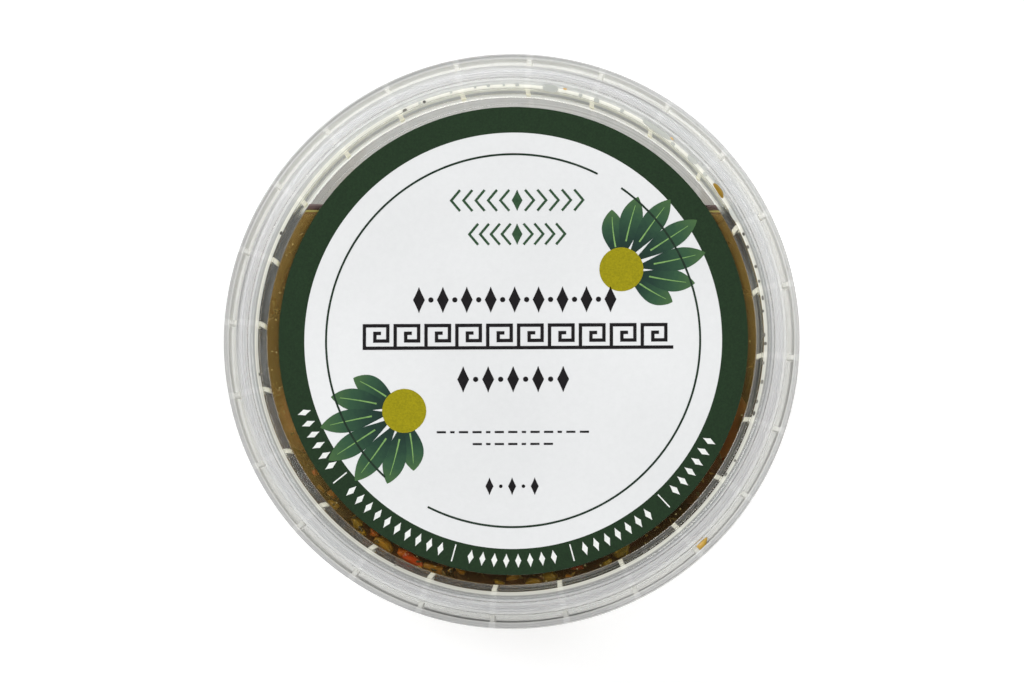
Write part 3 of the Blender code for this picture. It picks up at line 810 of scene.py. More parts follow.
def grained(name, grain, stops, finish, own="", spread=0.0, relief=None):
    """A finish whose colour runs through the stops with a fine grain.

    Where the piece has a tone of its own, as an attribute, the grain moves it by up to the spread.
    The relief, if any, follows the grain.
    """
    material, tree = empty_material(name)
    coords = add(tree, "TexCoord").outputs["Object"]
    place = noise = add(tree, "TexNoise", {"Vector": coords, **grain})
    if own:
        tone = add(tree, "Attribute", attribute_name=own)
        patch = add(tree, "MapRange", {"Value": noise, "To Min": -spread, "To Max": spread})
        place = add(tree, "Math", {0: tone.outputs["Fac"], 1: patch}, operation="ADD")
    finish = {"Base Color": ramp(tree, place, stops), **finish}
    if relief:
        finish["Normal"] = add(tree, "Bump", {**relief, "Height": noise})
    shader = add(tree, "BsdfPrincipled", finish)
    add(tree, "OutputMaterial", {"Surface": shader})
    return material


def bit_flesh(name, stops, roughness=0.3):
    """Soft oiled flesh of vegetable bits: its colour runs from bit to bit and mottles within one."""
    grain = {"Scale": 700.0, "Detail": 4.0}
    relief = {"Strength": 0.3, "Distance": 0.0001}
    return grained(name, grain, stops, {"Roughness": roughness, "IOR": 1.42}, "tone", 0.22, relief)


def toned_piece(name, rows, tone, material):
    """A piece of many small closed bodies, each with a tone of its own in the attribute tone."""
    thing = piece(name, pole_body(rows), material, sharp=80)
    each = len(thing.data.vertices) // len(rows)
    values = thing.data.attributes.new("tone", "FLOAT", "POINT")
    values.data.foreach_set("value", np.repeat(tone, each).astype(np.float32))
    return thing


# Clockwise angle, radius, length, width and tone of the pepper bits that show beside the label.
seen_bits = np.array([
    (152.5, 49.4, 4.4, 2.2, 0.10), (156.8, 50.5, 2.2, 1.3, 0.20), (166.4, 50.6, 1.6, 0.9, 0.70),
    (171.0, 49.7, 3.4, 2.4, 0.22), (174.9, 50.4, 2.9, 1.7, 0.36), (179.8, 49.2, 2.5, 1.9, 0.50),
    (183.0, 50.5, 2.0, 1.2, 0.30), (192.5, 49.1, 2.0, 1.3, 0.55), (198.9, 50.1, 4.0, 2.2, 0.62),
    (202.2, 50.8, 1.5, 0.8, 0.40), (212.2, 50.0, 3.8, 2.7, 0.50), (215.6, 49.2, 2.4, 1.4, 0.85),
    (217.9, 50.6, 1.7, 1.2, 0.30), (220.4, 49.7, 3.0, 2.2, 0.24), (227.4, 50.4, 2.5, 1.4, 0.42),
    (229.6, 49.0, 2.3, 1.6, 0.78), (232.4, 50.3, 1.7, 0.9, 0.55), (236.4, 49.3, 2.0, 1.0, 0.95),
])
bit_draw = np.random.RandomState(8)
seen_height = bit_draw.uniform(50.9, 51.6, len(seen_bits)) * MM
seen_centres = at(seen_bits[:, 0], seen_bits[:, 1] * MM, seen_height)
seen_sizes = np.insert(seen_bits[:, 2:4], 2, 1.7, axis=1) * MM
seen_turns = -np.radians(seen_bits[:, 0]) + bit_draw.uniform(-0.25, 0.25, len(seen_bits))
WALL_BITS = 90
wall_angle = bit_draw.uniform(78, 282, WALL_BITS)
wall_height = bit_draw.uniform(5 * MM, 49 * MM, WALL_BITS)
wall_centres = at(wall_angle, wall_radius(wall_height) - 1.5 * MM, wall_height)
wall_sizes = bit_draw.uniform([1.8, 1.2, 1.4], [4.2, 2.0, 3.0], (WALL_BITS, 3)) * MM
wall_tone = bit_draw.uniform(0, 0.95, WALL_BITS)
pepper_stops = [(0.0, "#575012"), (0.4, "#8f7012"), (0.7, "#8f5c12"), (1.0, "#9a400c")]
pepper_rows = lump_rows(
    np.concatenate([seen_centres, wall_centres]),
    np.concatenate([seen_sizes, wall_sizes]),
    np.concatenate([seen_turns, -np.radians(wall_angle)]),
    3,
    0.2,
)
pepper_tone = np.concatenate([seen_bits[:, 4], wall_tone])
diced_pepper = bit_flesh("diced_pepper", pepper_stops)
pepper = toned_piece("pepper_bits", pepper_rows, pepper_tone, diced_pepper)

chilli_angle = np.array([204.6, 206.9, 163.8, 120.0, 150.0, 196.0, 231.0, 250.0, 176.0])
chilli_radius = np.array([50.0, 49.6, 49.2, 50.6, 49.5, 48.6, 50.3, 48.8, 47.6]) * MM
chilli_height = np.array([51.5, 51.4, 51.3, 30.0, 22.0, 14.0, 38.0, 20.0, 8.0]) * MM
chilli_radius[3:] = wall_radius(chilli_height[3:]) - 1.4 * MM
chilli_sizes = [(4.6, 2.5, 1.6), (2.6, 1.8, 1.3), (2.4, 1.2, 1.0)] + [(5.0, 1.8, 2.6)] * 6
chilli_sizes = np.array(chilli_sizes) * MM
chilli_rows = lump_rows(
    at(chilli_angle, chilli_radius, chilli_height), chilli_sizes, -np.radians(chilli_angle), 5, 0.2
)
chilli_stops = [(0.0, "#702405"), (0.5, "#a23303"), (1.0, "#b8640e")]
chilli_tone = np.array([0.5, 0.9, 0.1, 0.5, 0.3, 0.6, 0.4, 0.5, 0.5])
red_chilli = bit_flesh("red_chilli", chilli_stops, 0.18)
chilli = toned_piece("chilli_slices", chilli_rows, chilli_tone, red_chilli)

HERBS_AT_LID = 110
HERBS_AT_WALL = 150
HERBS = HERBS_AT_LID + HERBS_AT_WALL
lid_herb_angle = bit_draw.uniform(62, 299, HERBS_AT_LID)
herb_angle = np.concatenate([lid_herb_angle, bit_draw.uniform(75, 285, HERBS_AT_WALL)])
herb_wall_height = bit_draw.uniform(4 * MM, 50 * MM, HERBS_AT_WALL)
herb_height = np.concatenate([np.full(HERBS_AT_LID, 52.3 * MM), herb_wall_height])
lid_herb_radius = bit_draw.uniform(46 * MM, 50.9 * MM, HERBS_AT_LID)
herb_radius = np.concatenate([lid_herb_radius, wall_radius(herb_wall_height) - 0.5 * MM])
herb_sizes = bit_draw.uniform([0.35, 0.2, 0.12], [1.5, 0.7, 0.35], (HERBS, 3)) * MM
herb_rows = lump_rows(
    at(herb_angle, herb_radius, herb_height), herb_sizes, bit_draw.uniform(0, math.pi, HERBS), 6, 0.2
)
herb_stops = [(0.0, "#23200c"), (0.5, "#3b3413"), (0.85, "#5e4a16"), (1.0, "#8a6a2a")]
herb_tone = bit_draw.uniform(0, 1, HERBS)
dried_herbs = bit_flesh("dried_herbs", herb_stops, 0.5)
herbs = toned_piece("herb_flakes", herb_rows, herb_tone, dried_herbs)

BUBBLES_LEFT = 40
BUBBLES_ELSEWHERE = 30
BUBBLES = BUBBLES_LEFT + BUBBLES_ELSEWHERE
left_bubble_angle = bit_draw.uniform(252, 301, BUBBLES_LEFT)
bubble_angle = np.concatenate([left_bubble_angle, bit_draw.uniform(58, 250, BUBBLES_ELSEWHERE)])
bubble_radius = bit_draw.uniform(48.9 * MM, 51.0 * MM, BUBBLES)
bubble_size = bit_draw.uniform(0.18, 0.42, (BUBBLES, 1)) * MM * np.ones((1, 3))
bubble_rows = lump_rows(
    at(bubble_angle, bubble_radius, 52.55 * MM), bubble_size, np.zeros(BUBBLES), 7, 0.0
)
# Painted highlight: each bubble is a pale opaque spot.
bubble_stops = [(0.0, "#8d8258"), (1.0, "#cfc8a6")]
bubble_tone = bit_draw.uniform(0, 1, BUBBLES)
bubble_highlight = bit_flesh("air_bubble_painted_highlight", bubble_stops, 0.1)
bubbles = toned_piece("air_bubbles", bubble_rows, bubble_tone, bubble_highlight)

# The lid: the same clear polypropylene, pressed over the tub's bead. A step goes down to the flat
# panel, with 24 short ribs in it, and fine rings are moulded round the top of its rim.
LID_TOP = 57.0 * MM
LID_RADIUS = 57.3 * MM
SKIRT_BOTTOM = 51.2 * MM
PANEL_TOP = 53.6 * MM
PANEL_RADIUS = 51.0 * MM
PLUG_TOP_RADIUS = 52.3 * MM
LID_UNDERSIDE = LID_TOP - WALL

GROOVE_DEPTH = 0.22 * MM

rim_radii = np.linspace(PLUG_TOP_RADIUS + 1.9 * MM, LID_RADIUS - 0.55 * MM, 61)
rim_rings = 5
rim_phase = math.tau * rim_rings * (rim_radii - rim_radii[0]) / (rim_radii[-1] - rim_radii[0])
rim_profile = np.stack([rim_radii, LID_TOP - 0.07 * MM * (1 - np.cos(rim_phase))], axis=1)
step_profile = rounded(
    [
        (0, PANEL_TOP), (PANEL_RADIUS, PANEL_TOP), (PANEL_RADIUS + 0.3 * MM, PANEL_TOP + 0.2 * MM),
        (PLUG_TOP_RADIUS - 0.1 * MM, LID_TOP - 0.4 * MM),
        (PLUG_TOP_RADIUS + 0.1 * MM, LID_TOP - GROOVE_DEPTH),
        (rim_radii[0] - 0.5 * MM, LID_TOP - GROOVE_DEPTH), (rim_radii[0] - 0.2 * MM, LID_TOP),
    ],
    0.3 * MM,
)
skirt_profile = rounded(
    [
        (rim_radii[-1] + 0.05 * MM, LID_TOP), (LID_RADIUS, LID_TOP), (LID_RADIUS, SKIRT_BOTTOM),
        (LID_RADIUS - WALL - 0.5 * MM, SKIRT_BOTTOM + 0.3 * MM),
        (LID_RADIUS - WALL - 0.5 * MM, SKIRT_BOTTOM + 1.4 * MM),
        (LID_RADIUS - WALL, SKIRT_BOTTOM + 2.0 * MM), (LID_RADIUS - WALL, LID_UNDERSIDE),
        (PLUG_TOP_RADIUS + 1.0 * MM, LID_UNDERSIDE),
        (PANEL_RADIUS + 0.9 * MM, PANEL_BOTTOM + 0.1 * MM), (PANEL_RADIUS + 0.6 * MM, PANEL_BOTTOM),
        (0, PANEL_BOTTOM),
    ],
    0.35 * MM,
)
lid_profile = np.concatenate([step_profile, rim_profile, skirt_profile])
# Besides the resin's milk, the step's and the rim's values paint light and shade: a bright painted
# highlight at the panel's edge on the free side, dark grey painted reflection in the step wall, a cream
# painted highlight on the step's top bend, and a painted shadow line at 54.8 mm. The step's dark band on
# the lower side is painted shade.
step_veils = [
    (51.08, 0.0), (51.18, 0.80), (51.52, 0.80), (51.62, 0.15), (51.72, 0.60), (52.02, 0.60),
    (52.15, 0.40), (52.50, 0.45), (52.60, 0.0),
]
rim_veils = [
    (52.56, 0.0), (52.70, 0.84), (53.22, 0.84), (53.40, 0.36), (54.15, 0.36), (54.30, 0.62),
    (54.62, 0.60), (54.72, 0.22), (54.88, 0.22), (55.00, 0.62), (56.50, 0.60), (56.90, 0.42),
    (57.3, 0.42),
]
step_stops = [(50.95, 0.0), (51.1, 1.0), (52.15, 1.0), (52.3, 0.0)]
lid_plastic = clear_plastic(
    "clear_polypropylene_lid",
    milk=0.0,
    grazing=0.05,
    tints=[
        (50.0, "#fbfbf4"), (51.58, "#fbfbf4"), (51.70, "#7d8180"), (52.00, "#8b8f8c"),
        (52.15, "#d6d8bc"), (52.5, "#f6f5e8"), (53.3, "#f6f5ea"), (53.6, "#dcdedb"),
        (54.1, "#dfe1e0"), (54.4, "#e9e9e8"), (56.4, "#e9e9eb"), (57.3, "#e0e0de"),
    ],
    veils=[(50.0 * MM, step_veils, True), (56.2 * MM, rim_veils, False)],
    ticks=0.08,
    dark_band=(step_stops, (0.8, -0.6, 0.0), 28 * MM, 46 * MM, 0.6),
)
lid = piece("lid_body", pole_body(turned_rows(lid_profile)), lid_plastic)
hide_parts("lid")

lid_ribs = piece(
    "lid_ribs",
    pole_body(rib_rows(51.2 * MM, PLUG_TOP_RADIUS + 0.3 * MM, PANEL_TOP - 0.2 * MM, 56.4 * MM, 0.6 * MM)),
    rib_milk_and_light,
)

# Drops of oil in the groove round the rim, dark where they stand alone, with two wet patches, and a
# few crumbs of herb and pepper that clung there when the tub was filled.
DROP_HEIGHT = 0.4 * MM
GROOVE_FLOOR = LID_TOP - GROOVE_DEPTH
drop_draw = np.random.RandomState(4)
single_dots = [118.0, 121.5, 207.6, 262.0, 296.0, 335.5, 341.0]
dot_angle = np.concatenate([np.arange(65, 111, 3.9), single_dots])
dot_angle = dot_angle + drop_draw.uniform(-1.0, 1.0, len(dot_angle))
dot_centres = at(dot_angle, drop_draw.uniform(52.6, 53.1, len(dot_angle)) * MM, GROOVE_FLOOR)
dot_sizes = drop_draw.uniform([0.5, 0.4, 1.0], [1.0, 0.6, 1.0], (len(dot_angle), 3)) * MM
dot_sizes[:, 2] = DROP_HEIGHT
dot_rows = lump_rows(dot_centres, dot_sizes, -np.radians(dot_angle), 9, 0.05)
dot_stops = [(0.0, "#4c4a44"), (1.0, "#8a8880")]
dot_tone = drop_draw.uniform(0, 1, len(dot_angle))
dots = toned_piece("oil_drops", dot_rows, dot_tone, bit_flesh("oil_drop", dot_stops, 0.08))

# Clockwise angle, radius, length and width of the clear drops and wet patches.
clear_drops = np.array([
    (352.0, 53.3, 0.6, 0.5), (355.0, 53.3, 0.7, 0.6), (358.5, 53.2, 0.5, 0.4), (1.5, 53.2, 0.8, 0.6),
    (9.0, 53.1, 3.4, 1.5), (16.0, 53.0, 0.8, 0.7), (19.8, 53.0, 1.2, 0.9), (26.0, 53.0, 0.8, 0.7),
    (35.0, 53.2, 7.4, 1.1), (39.8, 52.9, 1.0, 0.6), (45.5, 53.1, 2.6, 1.0), (49.8, 53.0, 1.0, 0.7),
    (61.0, 52.9, 3.2, 0.9), (339.0, 53.0, 0.6, 0.5), (346.5, 53.2, 0.6, 0.5),
])
clear_sizes = np.insert(clear_drops[:, 2:], 2, 0.42, axis=1) * MM
clear_rows = lump_rows(
    at(clear_drops[:, 0], clear_drops[:, 1] * MM, GROOVE_FLOOR),
    clear_sizes,
    -np.radians(clear_drops[:, 0]),
    10,
    0.03,
)
drop_stops = [(0.0, "#b3b6b0"), (1.0, "#c9cbc4")]
drop_tone = np.linspace(0, 1, len(clear_drops))
drops = toned_piece("clear_drops", clear_rows, drop_tone, bit_flesh("clear_drop", drop_stops, 0.05))

crumb_angle = np.array([54.6, 137.2, 38.9, 12.3, 41.0, 321.0, 75.6])
crumb_radius = np.array([53.2, 58.1, 53.6, 53.5, 59.3, 57.0, 59.4]) * MM
crumb_height = np.array([56.8, 51.1, 56.85, 56.85, 54.85, 56.85, 54.85]) * MM
crumb_sizes = np.array([
    (3.2, 1.1, 0.38), (3.4, 1.2, 1.2), (0.8, 0.35, 0.25), (0.9, 0.35, 0.25), (0.45, 0.35, 0.28),
    (0.3, 0.25, 0.2), (0.5, 0.3, 0.28),
]) * MM
crumb_rows = lump_rows(
    at(crumb_angle, crumb_radius, crumb_height), crumb_sizes, -np.radians(crumb_angle), 12, 0.15
)
crumb_stops = [(0.0, "#3c2f1c"), (0.45, "#94741f"), (0.8, "#c9a244"), (1.0, "#dcb684")]
crumb_tone = np.array([0.45, 0.78, 0.95, 0.95, 0.0, 0.1, 0.2])
crumb_flesh = bit_flesh("herb_and_pepper_crumbs", crumb_stops, 0.35)
crumbs = toned_piece("crumbs", crumb_rows, crumb_tone, crumb_flesh)

# The label: a disc of semi-gloss coated paper, stuck on the lid's panel, printed with a dark green
# border and plain ornaments. Each print is a film of ink a few hundredths of a millimetre thick.
LABEL_RADIUS = 48.95 * MM
LABEL_OFFSET = 0.35 * MM
LABEL_BOTTOM = 53.8 * MM
PAPER_TOP = 53.95 * MM
BORDER_TOP = 53.97 * MM
INK_TOP = 54.0 * MM
BORDER_INNER_RADIUS = 43.55 * MM


def label_paper():
    """Coated paper: nearly smooth, faintly fibrous, with a soft gloss."""
    material, tree = empty_material("coated_label_paper")
    coords = add(tree, "TexCoord").outputs["Object"]
    fibre = add(tree, "TexNoise", {"Vector": coords, "Scale": 900.0, "Detail": 6.0, "Roughness": 0.65})
    shade = add(tree, "TexNoise", {"Vector": coords, "Scale": 24.0, "Detail": 2.0})
    mixed = add(tree, "Math", {0: fibre, 1: 0.5, 2: shade}, operation="MULTIPLY_ADD")
    colour = ramp(tree, mixed, [(0.45, "#dfe0e0"), (1.0, "#e9eaea")])
    bump = add(tree, "Bump", {"Strength": 0.15, "Distance": 0.00003, "Height": fibre})
    shader = add(
        tree, "BsdfPrincipled", {"Base Color": colour, "Roughness": 0.42, "IOR": 1.5, "Normal": bump}
    )
    add(tree, "OutputMaterial", {"Surface": shader})
    return material


def printing_ink(name, light, dark, grain=1100.0):
    """A film of ink over paper: the print's fine speckle lightens and darkens it."""
    speckle = {"Scale": grain, "Detail": 3.0, "Roughness": 0.7}
    finish = {"Roughness": 0.38, "IOR": 1.5, "Specular IOR Level": 0.3}
    return grained(name, speckle, [(0.35, dark), (0.65, light)], finish)


def moved(body, x=0.0, y=0.0):
    """A body set aside by x and y."""
    points, triangles = body
    return points + np.array([x, y, 0.0]), triangles


def joined(bodies):
    """Several bodies as one list of points and one of triangles."""
    counts = np.cumsum([0] + [len(points) for points, _ in bodies])
    points = np.concatenate([points for points, _ in bodies])
    triangles = np.concatenate([faces + first for (_, faces), first in zip(bodies, counts)])
    return points, triangles


def strokes(paths, widths, top):
    """Flat strokes of ink, each a closed strip along its path, as one body.

    paths is (strokes, places, 2), widths broadcasts to (strokes, places), and top is one height or
    one for each stroke. At each place the strip reaches half its width to both sides, along the
    mitre of the two stretches that meet there.
    """
    paths = np.asarray(paths, float)
    count, places = paths.shape[:2]
    high = np.broadcast_to(np.reshape(top, (-1, 1, 1)), (count, places, 1))
    low = np.full((count, places, 1), PAPER_TOP - 0.02 * MM)
    widths = np.broadcast_to(widths, (count, places))
    ahead = np.diff(paths, axis=1)
    ahead /= np.linalg.norm(ahead, axis=2, keepdims=True)
    normal = np.stack([-ahead[..., 1], ahead[..., 0]], axis=-1)
    before = np.concatenate([normal[:, :1], normal], axis=1)
    after = np.concatenate([normal, normal[:, -1:]], axis=1)
    mitre = before + after
    mitre /= np.linalg.norm(mitre, axis=2, keepdims=True)
    mitre /= (mitre * after).sum(axis=2, keepdims=True)
    left = paths + mitre * widths[..., None] / 2
    right = paths - mitre * widths[..., None] / 2
    corners = [(left, high), (right, high), (right, low), (left, low)]
    rings = np.stack([np.concatenate(pair, axis=2) for pair in corners], axis=2)
    place = np.arange(places * 4).reshape(places, 4)
    beside = np.roll(place, -1, axis=1)
    a, b, c, d = place[:-1], beside[:-1], beside[1:], place[1:]
    first, last = place[0], place[-1]
    faces = np.concatenate([
        np.stack([a, b, c], axis=-1).reshape(-1, 3), np.stack([a, c, d], axis=-1).reshape(-1, 3),
        [[first[3], first[2], first[1]], [first[3], first[1], first[0]]],
        [[last[0], last[1], last[2]], [last[0], last[2], last[3]]],
    ])
    shift = np.arange(count)[:, None, None] * places * 4
    return rings.reshape(-1, 3), (faces[None] + shift).reshape(-1, 3)


def circle_points(radius, start, end, places):
    """Places on a circle about the label's middle, between two clockwise angles from the top."""
    angle = np.radians(np.linspace(start, end, places))
    return np.stack([radius * np.sin(angle) + LABEL_OFFSET, radius * np.cos(angle)], axis=-1)


def lozenges(centres, lengths, widths, top, direction=0.0):
    """Diamonds with slightly hollow sides, long axis at the direction, one for each centre."""
    centres = np.asarray(centres, float)
    t = np.linspace(-1, 1, 9)
    turn = np.broadcast_to(direction, len(centres))[:, None]
    reach = t[None] * np.broadcast_to(lengths, len(centres))[:, None] / 2
    paths = centres[:, None] + np.stack([reach * np.cos(turn), reach * np.sin(turn)], axis=-1)
    share = (1 - np.abs(t)) ** 1.15 + 0.02
    return strokes(paths, np.broadcast_to(widths, len(centres))[:, None] * share[None], top)


def rounds(centres, diameters, top):
    """Round dots: strokes whose width follows a circle."""
    centres = np.asarray(centres, float)
    angle = np.linspace(0.03, math.pi - 0.03, 21)
    half = np.broadcast_to(diameters, len(centres))[:, None] / 2
    paths = centres[:, None] + np.stack([-half * np.cos(angle), 0 * half * angle], axis=-1)
    return strokes(paths, 2 * half * np.sin(angle), top)


paper_profile = rounded(
    [(0, PAPER_TOP), (LABEL_RADIUS, PAPER_TOP), (LABEL_RADIUS, LABEL_BOTTOM), (0, LABEL_BOTTOM)],
    0.03 * MM,
)
paper = piece("label_paper", moved(pole_body(turned_rows(paper_profile)), LABEL_OFFSET), label_paper())
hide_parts("label")

border_profile = np.array([
    (BORDER_INNER_RADIUS, BORDER_TOP), (LABEL_RADIUS, BORDER_TOP),
    (LABEL_RADIUS, PAPER_TOP - 0.06 * MM), (BORDER_INNER_RADIUS, PAPER_TOP - 0.06 * MM),
])
border_ink = printing_ink("dark_green_ink", "#243a23", "#1d2e1d", grain=2600.0)
border = piece("label_border", moved(ring_body(turned_rows(border_profile)), LABEL_OFFSET), border_ink)

ring_path = [circle_points(39.0 * MM, 35.5, 207.0, 240), circle_points(39.0 * MM, 223.0, 387.0, 240)]
line_ink = printing_ink("deep_green_line_ink", "#26382a", "#1b2a20")
ring_line = piece(
    "label_line", joined([strokes([path], 0.42 * MM, INK_TOP) for path in ring_path]), line_ink
)

# Three rows of black ornament across the label's middle: a key pattern, and lozenges with dots.
KEY_HEIGHT = 5.4 * MM
KEY_WIDTH = 64.4 * MM
KEY_UNITS = 10
KEY_STROKE = 0.70 * MM
key_unit = KEY_WIDTH / KEY_UNITS
key_x = [0, 0, 0.76, 0.76, 0.34, 0.34, 0.54]
key_y = [0.06, 1, 1, 0.32, 0.32, 0.66, 0.66]
key_steps = np.stack([key_x, key_y], axis=1)
key_scale = np.array([key_unit, KEY_HEIGHT - KEY_STROKE])
key_start = np.array([1.56 * MM - KEY_WIDTH / 2, 0.76 * MM - (KEY_HEIGHT - KEY_STROKE) / 2])
key_places = key_start + np.arange(KEY_UNITS)[:, None, None] * np.array([key_unit, 0])
key_paths = key_places + key_steps[None] * key_scale
base_line = [[key_start - [KEY_STROKE / 2, 0], key_start + [KEY_WIDTH, 0]]]
black_ink = printing_ink("black_ink", "#1d1a1c", "#131113")


def lozenge_row(middle_x, middle_y, width, height, units, top=INK_TOP):
    """A row of upright lozenges with a dot between each two, centred on its middle."""
    x = middle_x + (np.arange(units) - (units - 1) / 2) * (width / (units - 0.45))
    centres = np.stack([x, np.full(units, middle_y)], axis=1)
    between = (centres[:-1] + centres[1:]) / 2
    return [
        lozenges(centres, height, 0.45 * height, top, math.pi / 2), rounds(between, 0.2 * height, top)
    ]


black_bodies = [
    strokes(key_paths, KEY_STROKE, INK_TOP), strokes(base_line, KEY_STROKE, INK_TOP - 0.004 * MM)
]
black_bodies += lozenge_row(0.73 * MM, 8.47 * MM, 42.7 * MM, 5.4 * MM, 9)
black_bodies += lozenge_row(0.42 * MM, -8.19 * MM, 23.7 * MM, 5.4 * MM, 5)
black_bodies += lozenge_row(0.2 * MM, -30.5 * MM, 12.0 * MM, 3.6 * MM, 3)


def dash_row(middle_y, width, units):
    """A row of dashes, of which every third is a short one."""
    lengths = np.where(np.arange(units) % 3 == 1, 0.9, 1.9) * MM
    gap = (width - lengths.sum()) / (units - 1)
    start = LABEL_OFFSET - width / 2 + np.cumsum(lengths + gap) - lengths - gap
    paths = np.stack(
        [
            np.stack([start, np.full(units, middle_y)], axis=1),
            np.stack([start + lengths, np.full(units, middle_y)], axis=1),
        ],
        axis=1,
    )
    return strokes(paths, 0.42 * MM, INK_TOP)


black_bodies += [dash_row(-19.2 * MM, 31.7 * MM, 13), dash_row(-21.7 * MM, 16.7 * MM, 7)]
black_print = piece("label_black_print", joined(black_bodies), black_ink)

# Two short rows of green chevrons above them.
green_ink = printing_ink("leaf_green_ink", "#36553a", "#2b452f")


def chevron_row(middle_x, middle_y, width, height, units):
    """Chevrons that point away from the row's middle on both sides, with a lozenge between."""
    step = width / (2 * units + 1)
    index = np.arange(1, units + 1)
    bend = 0.42 * height
    arms = np.array([(-bend, 0.5 * height), (0.0, 0.0), (-bend, -0.5 * height)])
    right = np.array([middle_x, middle_y]) + index[:, None, None] * [step, 0] + arms + [bend / 2, 0]
    left = np.array([middle_x, middle_y]) - index[:, None, None] * [step, 0] - arms - [bend / 2, 0]
    return [
        strokes(right, 0.5 * MM, INK_TOP),
        strokes(left, 0.5 * MM, INK_TOP),
        lozenges([(middle_x, middle_y)], height, 0.5 * height, INK_TOP, math.pi / 2),
    ]


green_bodies = chevron_row(1.25 * MM, 29.3 * MM, 28.3 * MM, 4.4 * MM, 5)
green_bodies += chevron_row(1.25 * MM, 22.2 * MM, 20.4 * MM, 4.4 * MM, 4)
green_print = piece("label_green_print", joined(green_bodies), green_ink)

# White lozenges in five groups, with thin bars between the groups, round the border's lower half.
BAND_RADIUS = 46.0 * MM
group_spans = [(251, 235), (227, 199), (191, 168), (161, 141), (133, 117)]
bar_angles = np.array([231.5, 195.5, 164.5, 137.0])
band_angles = np.concatenate([np.arange(high, low - 0.1, -3.1) for high, low in group_spans])
band_turn = math.pi / 2 - np.radians(band_angles)
band_centres = np.stack(
    [BAND_RADIUS * np.cos(band_turn) + LABEL_OFFSET, BAND_RADIUS * np.sin(band_turn)], axis=1
)
bar_turn = math.pi / 2 - np.radians(bar_angles)
bar_out = np.stack([np.cos(bar_turn), np.sin(bar_turn)], axis=1)
bar_paths = bar_out[:, None] * (BAND_RADIUS + np.array([-1.8, 1.8])[None, :, None] * MM)
bar_paths = bar_paths + np.array([LABEL_OFFSET, 0.0])
white_ink = printing_ink("white_ink", "#f0f1ee", "#e2e4e0")
white_print = piece(
    "label_white_print",
    joined([
        lozenges(band_centres, 2.9 * MM, 1.25 * MM, INK_TOP, band_turn),
        strokes(bar_paths, 0.26 * MM, INK_TOP),
    ]),
    white_ink,
)

# Two fans of lobes, upper right and lower left, that run out over the border. Each lobe is a drop
# that darkens to its foot, with a light rib, and a yellow-green round sits where they meet.
FAN_LOBES = 7
FAN_FOOT_RADIUS = 27.0 * MM
LOBE_PLACES = 31
BUD_DIAMETER = 9.2 * MM


def fan(clockwise, lengths, spread, foot_radius):
    """Paths of a fan's lobes, from its foot towards the label's edge."""
    out = math.pi / 2 - math.radians(clockwise)
    foot = foot_radius * np.array([math.cos(out), math.sin(out)]) + [LABEL_OFFSET, 0]
    turn = out + np.radians(np.linspace(-spread, spread, FAN_LOBES))
    arms = np.stack([np.cos(turn), np.sin(turn)], axis=1)
    t = np.linspace(0.12, 1, LOBE_PLACES)
    lengths = np.asarray(lengths)[:, None, None]
    curl = np.linspace(1, -1, FAN_LOBES)[:, None, None] * 0.16
    sideways = np.stack([-arms[:, 1], arms[:, 0]], axis=1)
    paths = foot + arms[:, None] * lengths * t[None, :, None]
    return foot, paths + sideways[:, None] * curl * lengths * t[None, :, None] ** 2


lobe_share = np.linspace(0, 1, LOBE_PLACES)
lobe_width = np.sin(math.pi * lobe_share**1.5) ** 0.85 + 0.012
lobe_lengths = np.array([12.5, 15.5, 17.8, 18.8, 17.8, 15.5, 12.5]) * MM
lobe_tops = INK_TOP - np.array([0.016, 0.012, 0.008, 0.004, 0.008, 0.012, 0.016]) * MM
lobe_bodies = []
midrib_bodies = []
bud_centres = []
for fan_angle in (57.0, 237.0):
    fan_foot, fan_paths = fan(fan_angle, lobe_lengths, 75.0, FAN_FOOT_RADIUS)
    lobe_bodies.append(strokes(fan_paths, 4.6 * MM * lobe_width, lobe_tops))
    midrib_widths = 0.40 * MM * (1.15 - lobe_share[9:-4])
    midrib_bodies.append(strokes(fan_paths[:, 9:-4], midrib_widths, lobe_tops + 0.003 * MM))
    bud_centres.append(fan_foot)


# The fans' green ink shades from near black at a lobe's foot to leaf green at its tip.
lobe_ink = grained(
    "shaded_green_ink",
    {"Scale": 1100.0, "Detail": 3.0},
    [(0.0, "#1c2c24"), (0.35, "#223b31"), (0.7, "#33543c"), (1.0, "#48683f")],
    {"Roughness": 0.4, "IOR": 1.5, "Specular IOR Level": 0.3},
    "run",
    0.12,
)
lobes = piece("label_fans", joined(lobe_bodies), lobe_ink)
lobe_run = lobes.data.attributes.new("run", "FLOAT", "POINT")
each_run = np.repeat(lobe_share, 4)
lobe_run.data.foreach_set("value", np.tile(each_run, 2 * FAN_LOBES).astype(np.float32))
midrib_ink = printing_ink("pale_green_ink", "#86ad66", "#6f9857")
midribs = piece("label_fan_ribs", joined(midrib_bodies), midrib_ink)
bud_ink = printing_ink("yellow_green_ink", "#a1960f", "#8b840c", grain=2600.0)
buds = piece("label_buds", rounds(bud_centres, BUD_DIAMETER, INK_TOP), bud_ink)

# The stage: a plain pale floor, soft daylight from all round and three large soft lamps.
floor_mesh = bpy.data.meshes.new("floor")
floor_mesh.from_pydata([(-2, -2, 0), (2, -2, 0), (2, 2, 0), (-2, 2, 0)], [], [(0, 1, 2, 3)])
floor = bpy.data.objects.new("floor", floor_mesh)
bpy.context.scene.collection.objects.link(floor)
floor_paint, floor_tree = empty_material("white_light_table")
floor_shader = add(
    floor_tree,
    "BsdfPrincipled",
    {
        "Base Color": linear("#fcfcfc"),
        "Roughness": 0.9,
        "Emission Color": linear("#ffffff"),
        "Emission Strength": 0.24,
    },
)
add(floor_tree, "OutputMaterial", {"Surface": floor_shader})
floor_mesh.materials.append(floor_paint)

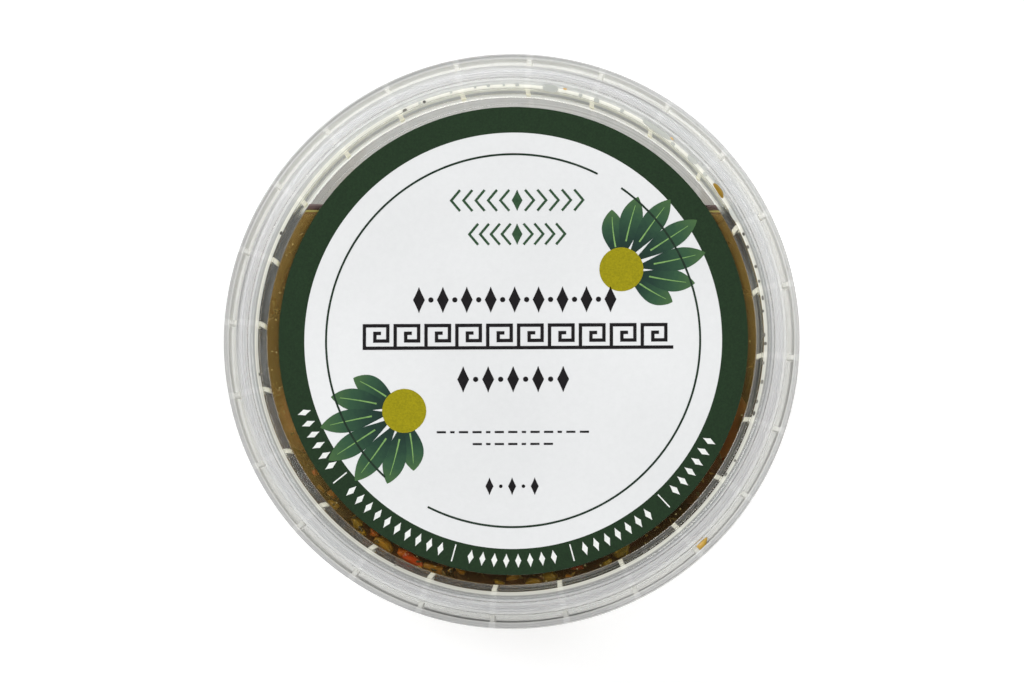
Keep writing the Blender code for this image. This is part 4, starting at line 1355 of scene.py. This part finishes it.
world = bpy.data.worlds.new("daylight")
world.use_nodes = True
bpy.context.scene.world = world
sky_tree = world.node_tree
sky_coords = add(sky_tree, "TexCoord").outputs["Generated"]
sky_split = add(sky_tree, "SeparateXYZ", {0: sky_coords})
sky_stops = [(0.0, "#ffffff"), (0.5, "#f2f3f5"), (0.85, "#8c8d8f"), (1.0, "#3a3a3b")]
sky_colour = ramp(sky_tree, sky_split.outputs[2], sky_stops)
sky_tree.links.new(sky_colour.outputs[0], sky_tree.nodes["Background"].inputs["Color"])
sky_tree.nodes["Background"].inputs["Strength"].default_value = 0.67


def soft_lamp(name, place, size, power):
    """A square soft lamp that faces the tub."""
    light = bpy.data.lights.new(name, "AREA")
    light.size = size
    light.energy = power
    lamp = bpy.data.objects.new(name, light)
    lamp.location = place
    aim = np.array([0, 0, 0.04]) - np.array(place)
    turn = math.atan2(aim[1], aim[0])
    slope = math.atan2(math.hypot(aim[0], aim[1]), -aim[2])
    lamp.rotation_euler = (slope, 0, turn - math.pi / 2)
    bpy.context.scene.collection.objects.link(lamp)


soft_lamp("key_lamp", (-1.00, 0.90, 1.25), 0.9, 14.5)
soft_lamp("fill_lamp", (1.08, 0.50, 1.25), 0.9, 9.5)
soft_lamp("front_lamp", (0.08, -1.25, 1.17), 0.9, 11.0)

# The camera looks down from over a metre away, six degrees off the axis, as the photo's rings show:
# the deeper a ring lies, the more it is set off to the lower right.
LENS = 200.0
SENSOR = 36.0
PHOTO_WIDTH = 1024
PIXELS_PER_METRE = 4801.7
AIM = np.array([0.18, -0.30, 54.0]) * MM
TOWARDS_CAMERA = np.array([0.046, -0.092, 0.9947])
distance = PHOTO_WIDTH / PIXELS_PER_METRE * LENS / SENSOR
camera_data = bpy.data.cameras.new("camera")
camera_data.lens = LENS
camera_data.sensor_width = SENSOR
camera = bpy.data.objects.new("camera", camera_data)
camera.location = AIM + distance * TOWARDS_CAMERA
back = TOWARDS_CAMERA / np.linalg.norm(TOWARDS_CAMERA)
right = np.cross([0.0, 1.0, 0.0], back)
right /= np.linalg.norm(right)
turned = np.stack([right, np.cross(back, right), back], axis=1)
camera.rotation_euler = mathutils.Matrix(turned.tolist()).to_euler()
bpy.context.scene.collection.objects.link(camera)
bpy.context.scene.camera = camera
bpy.context.scene.view_settings.view_transform = "Standard"
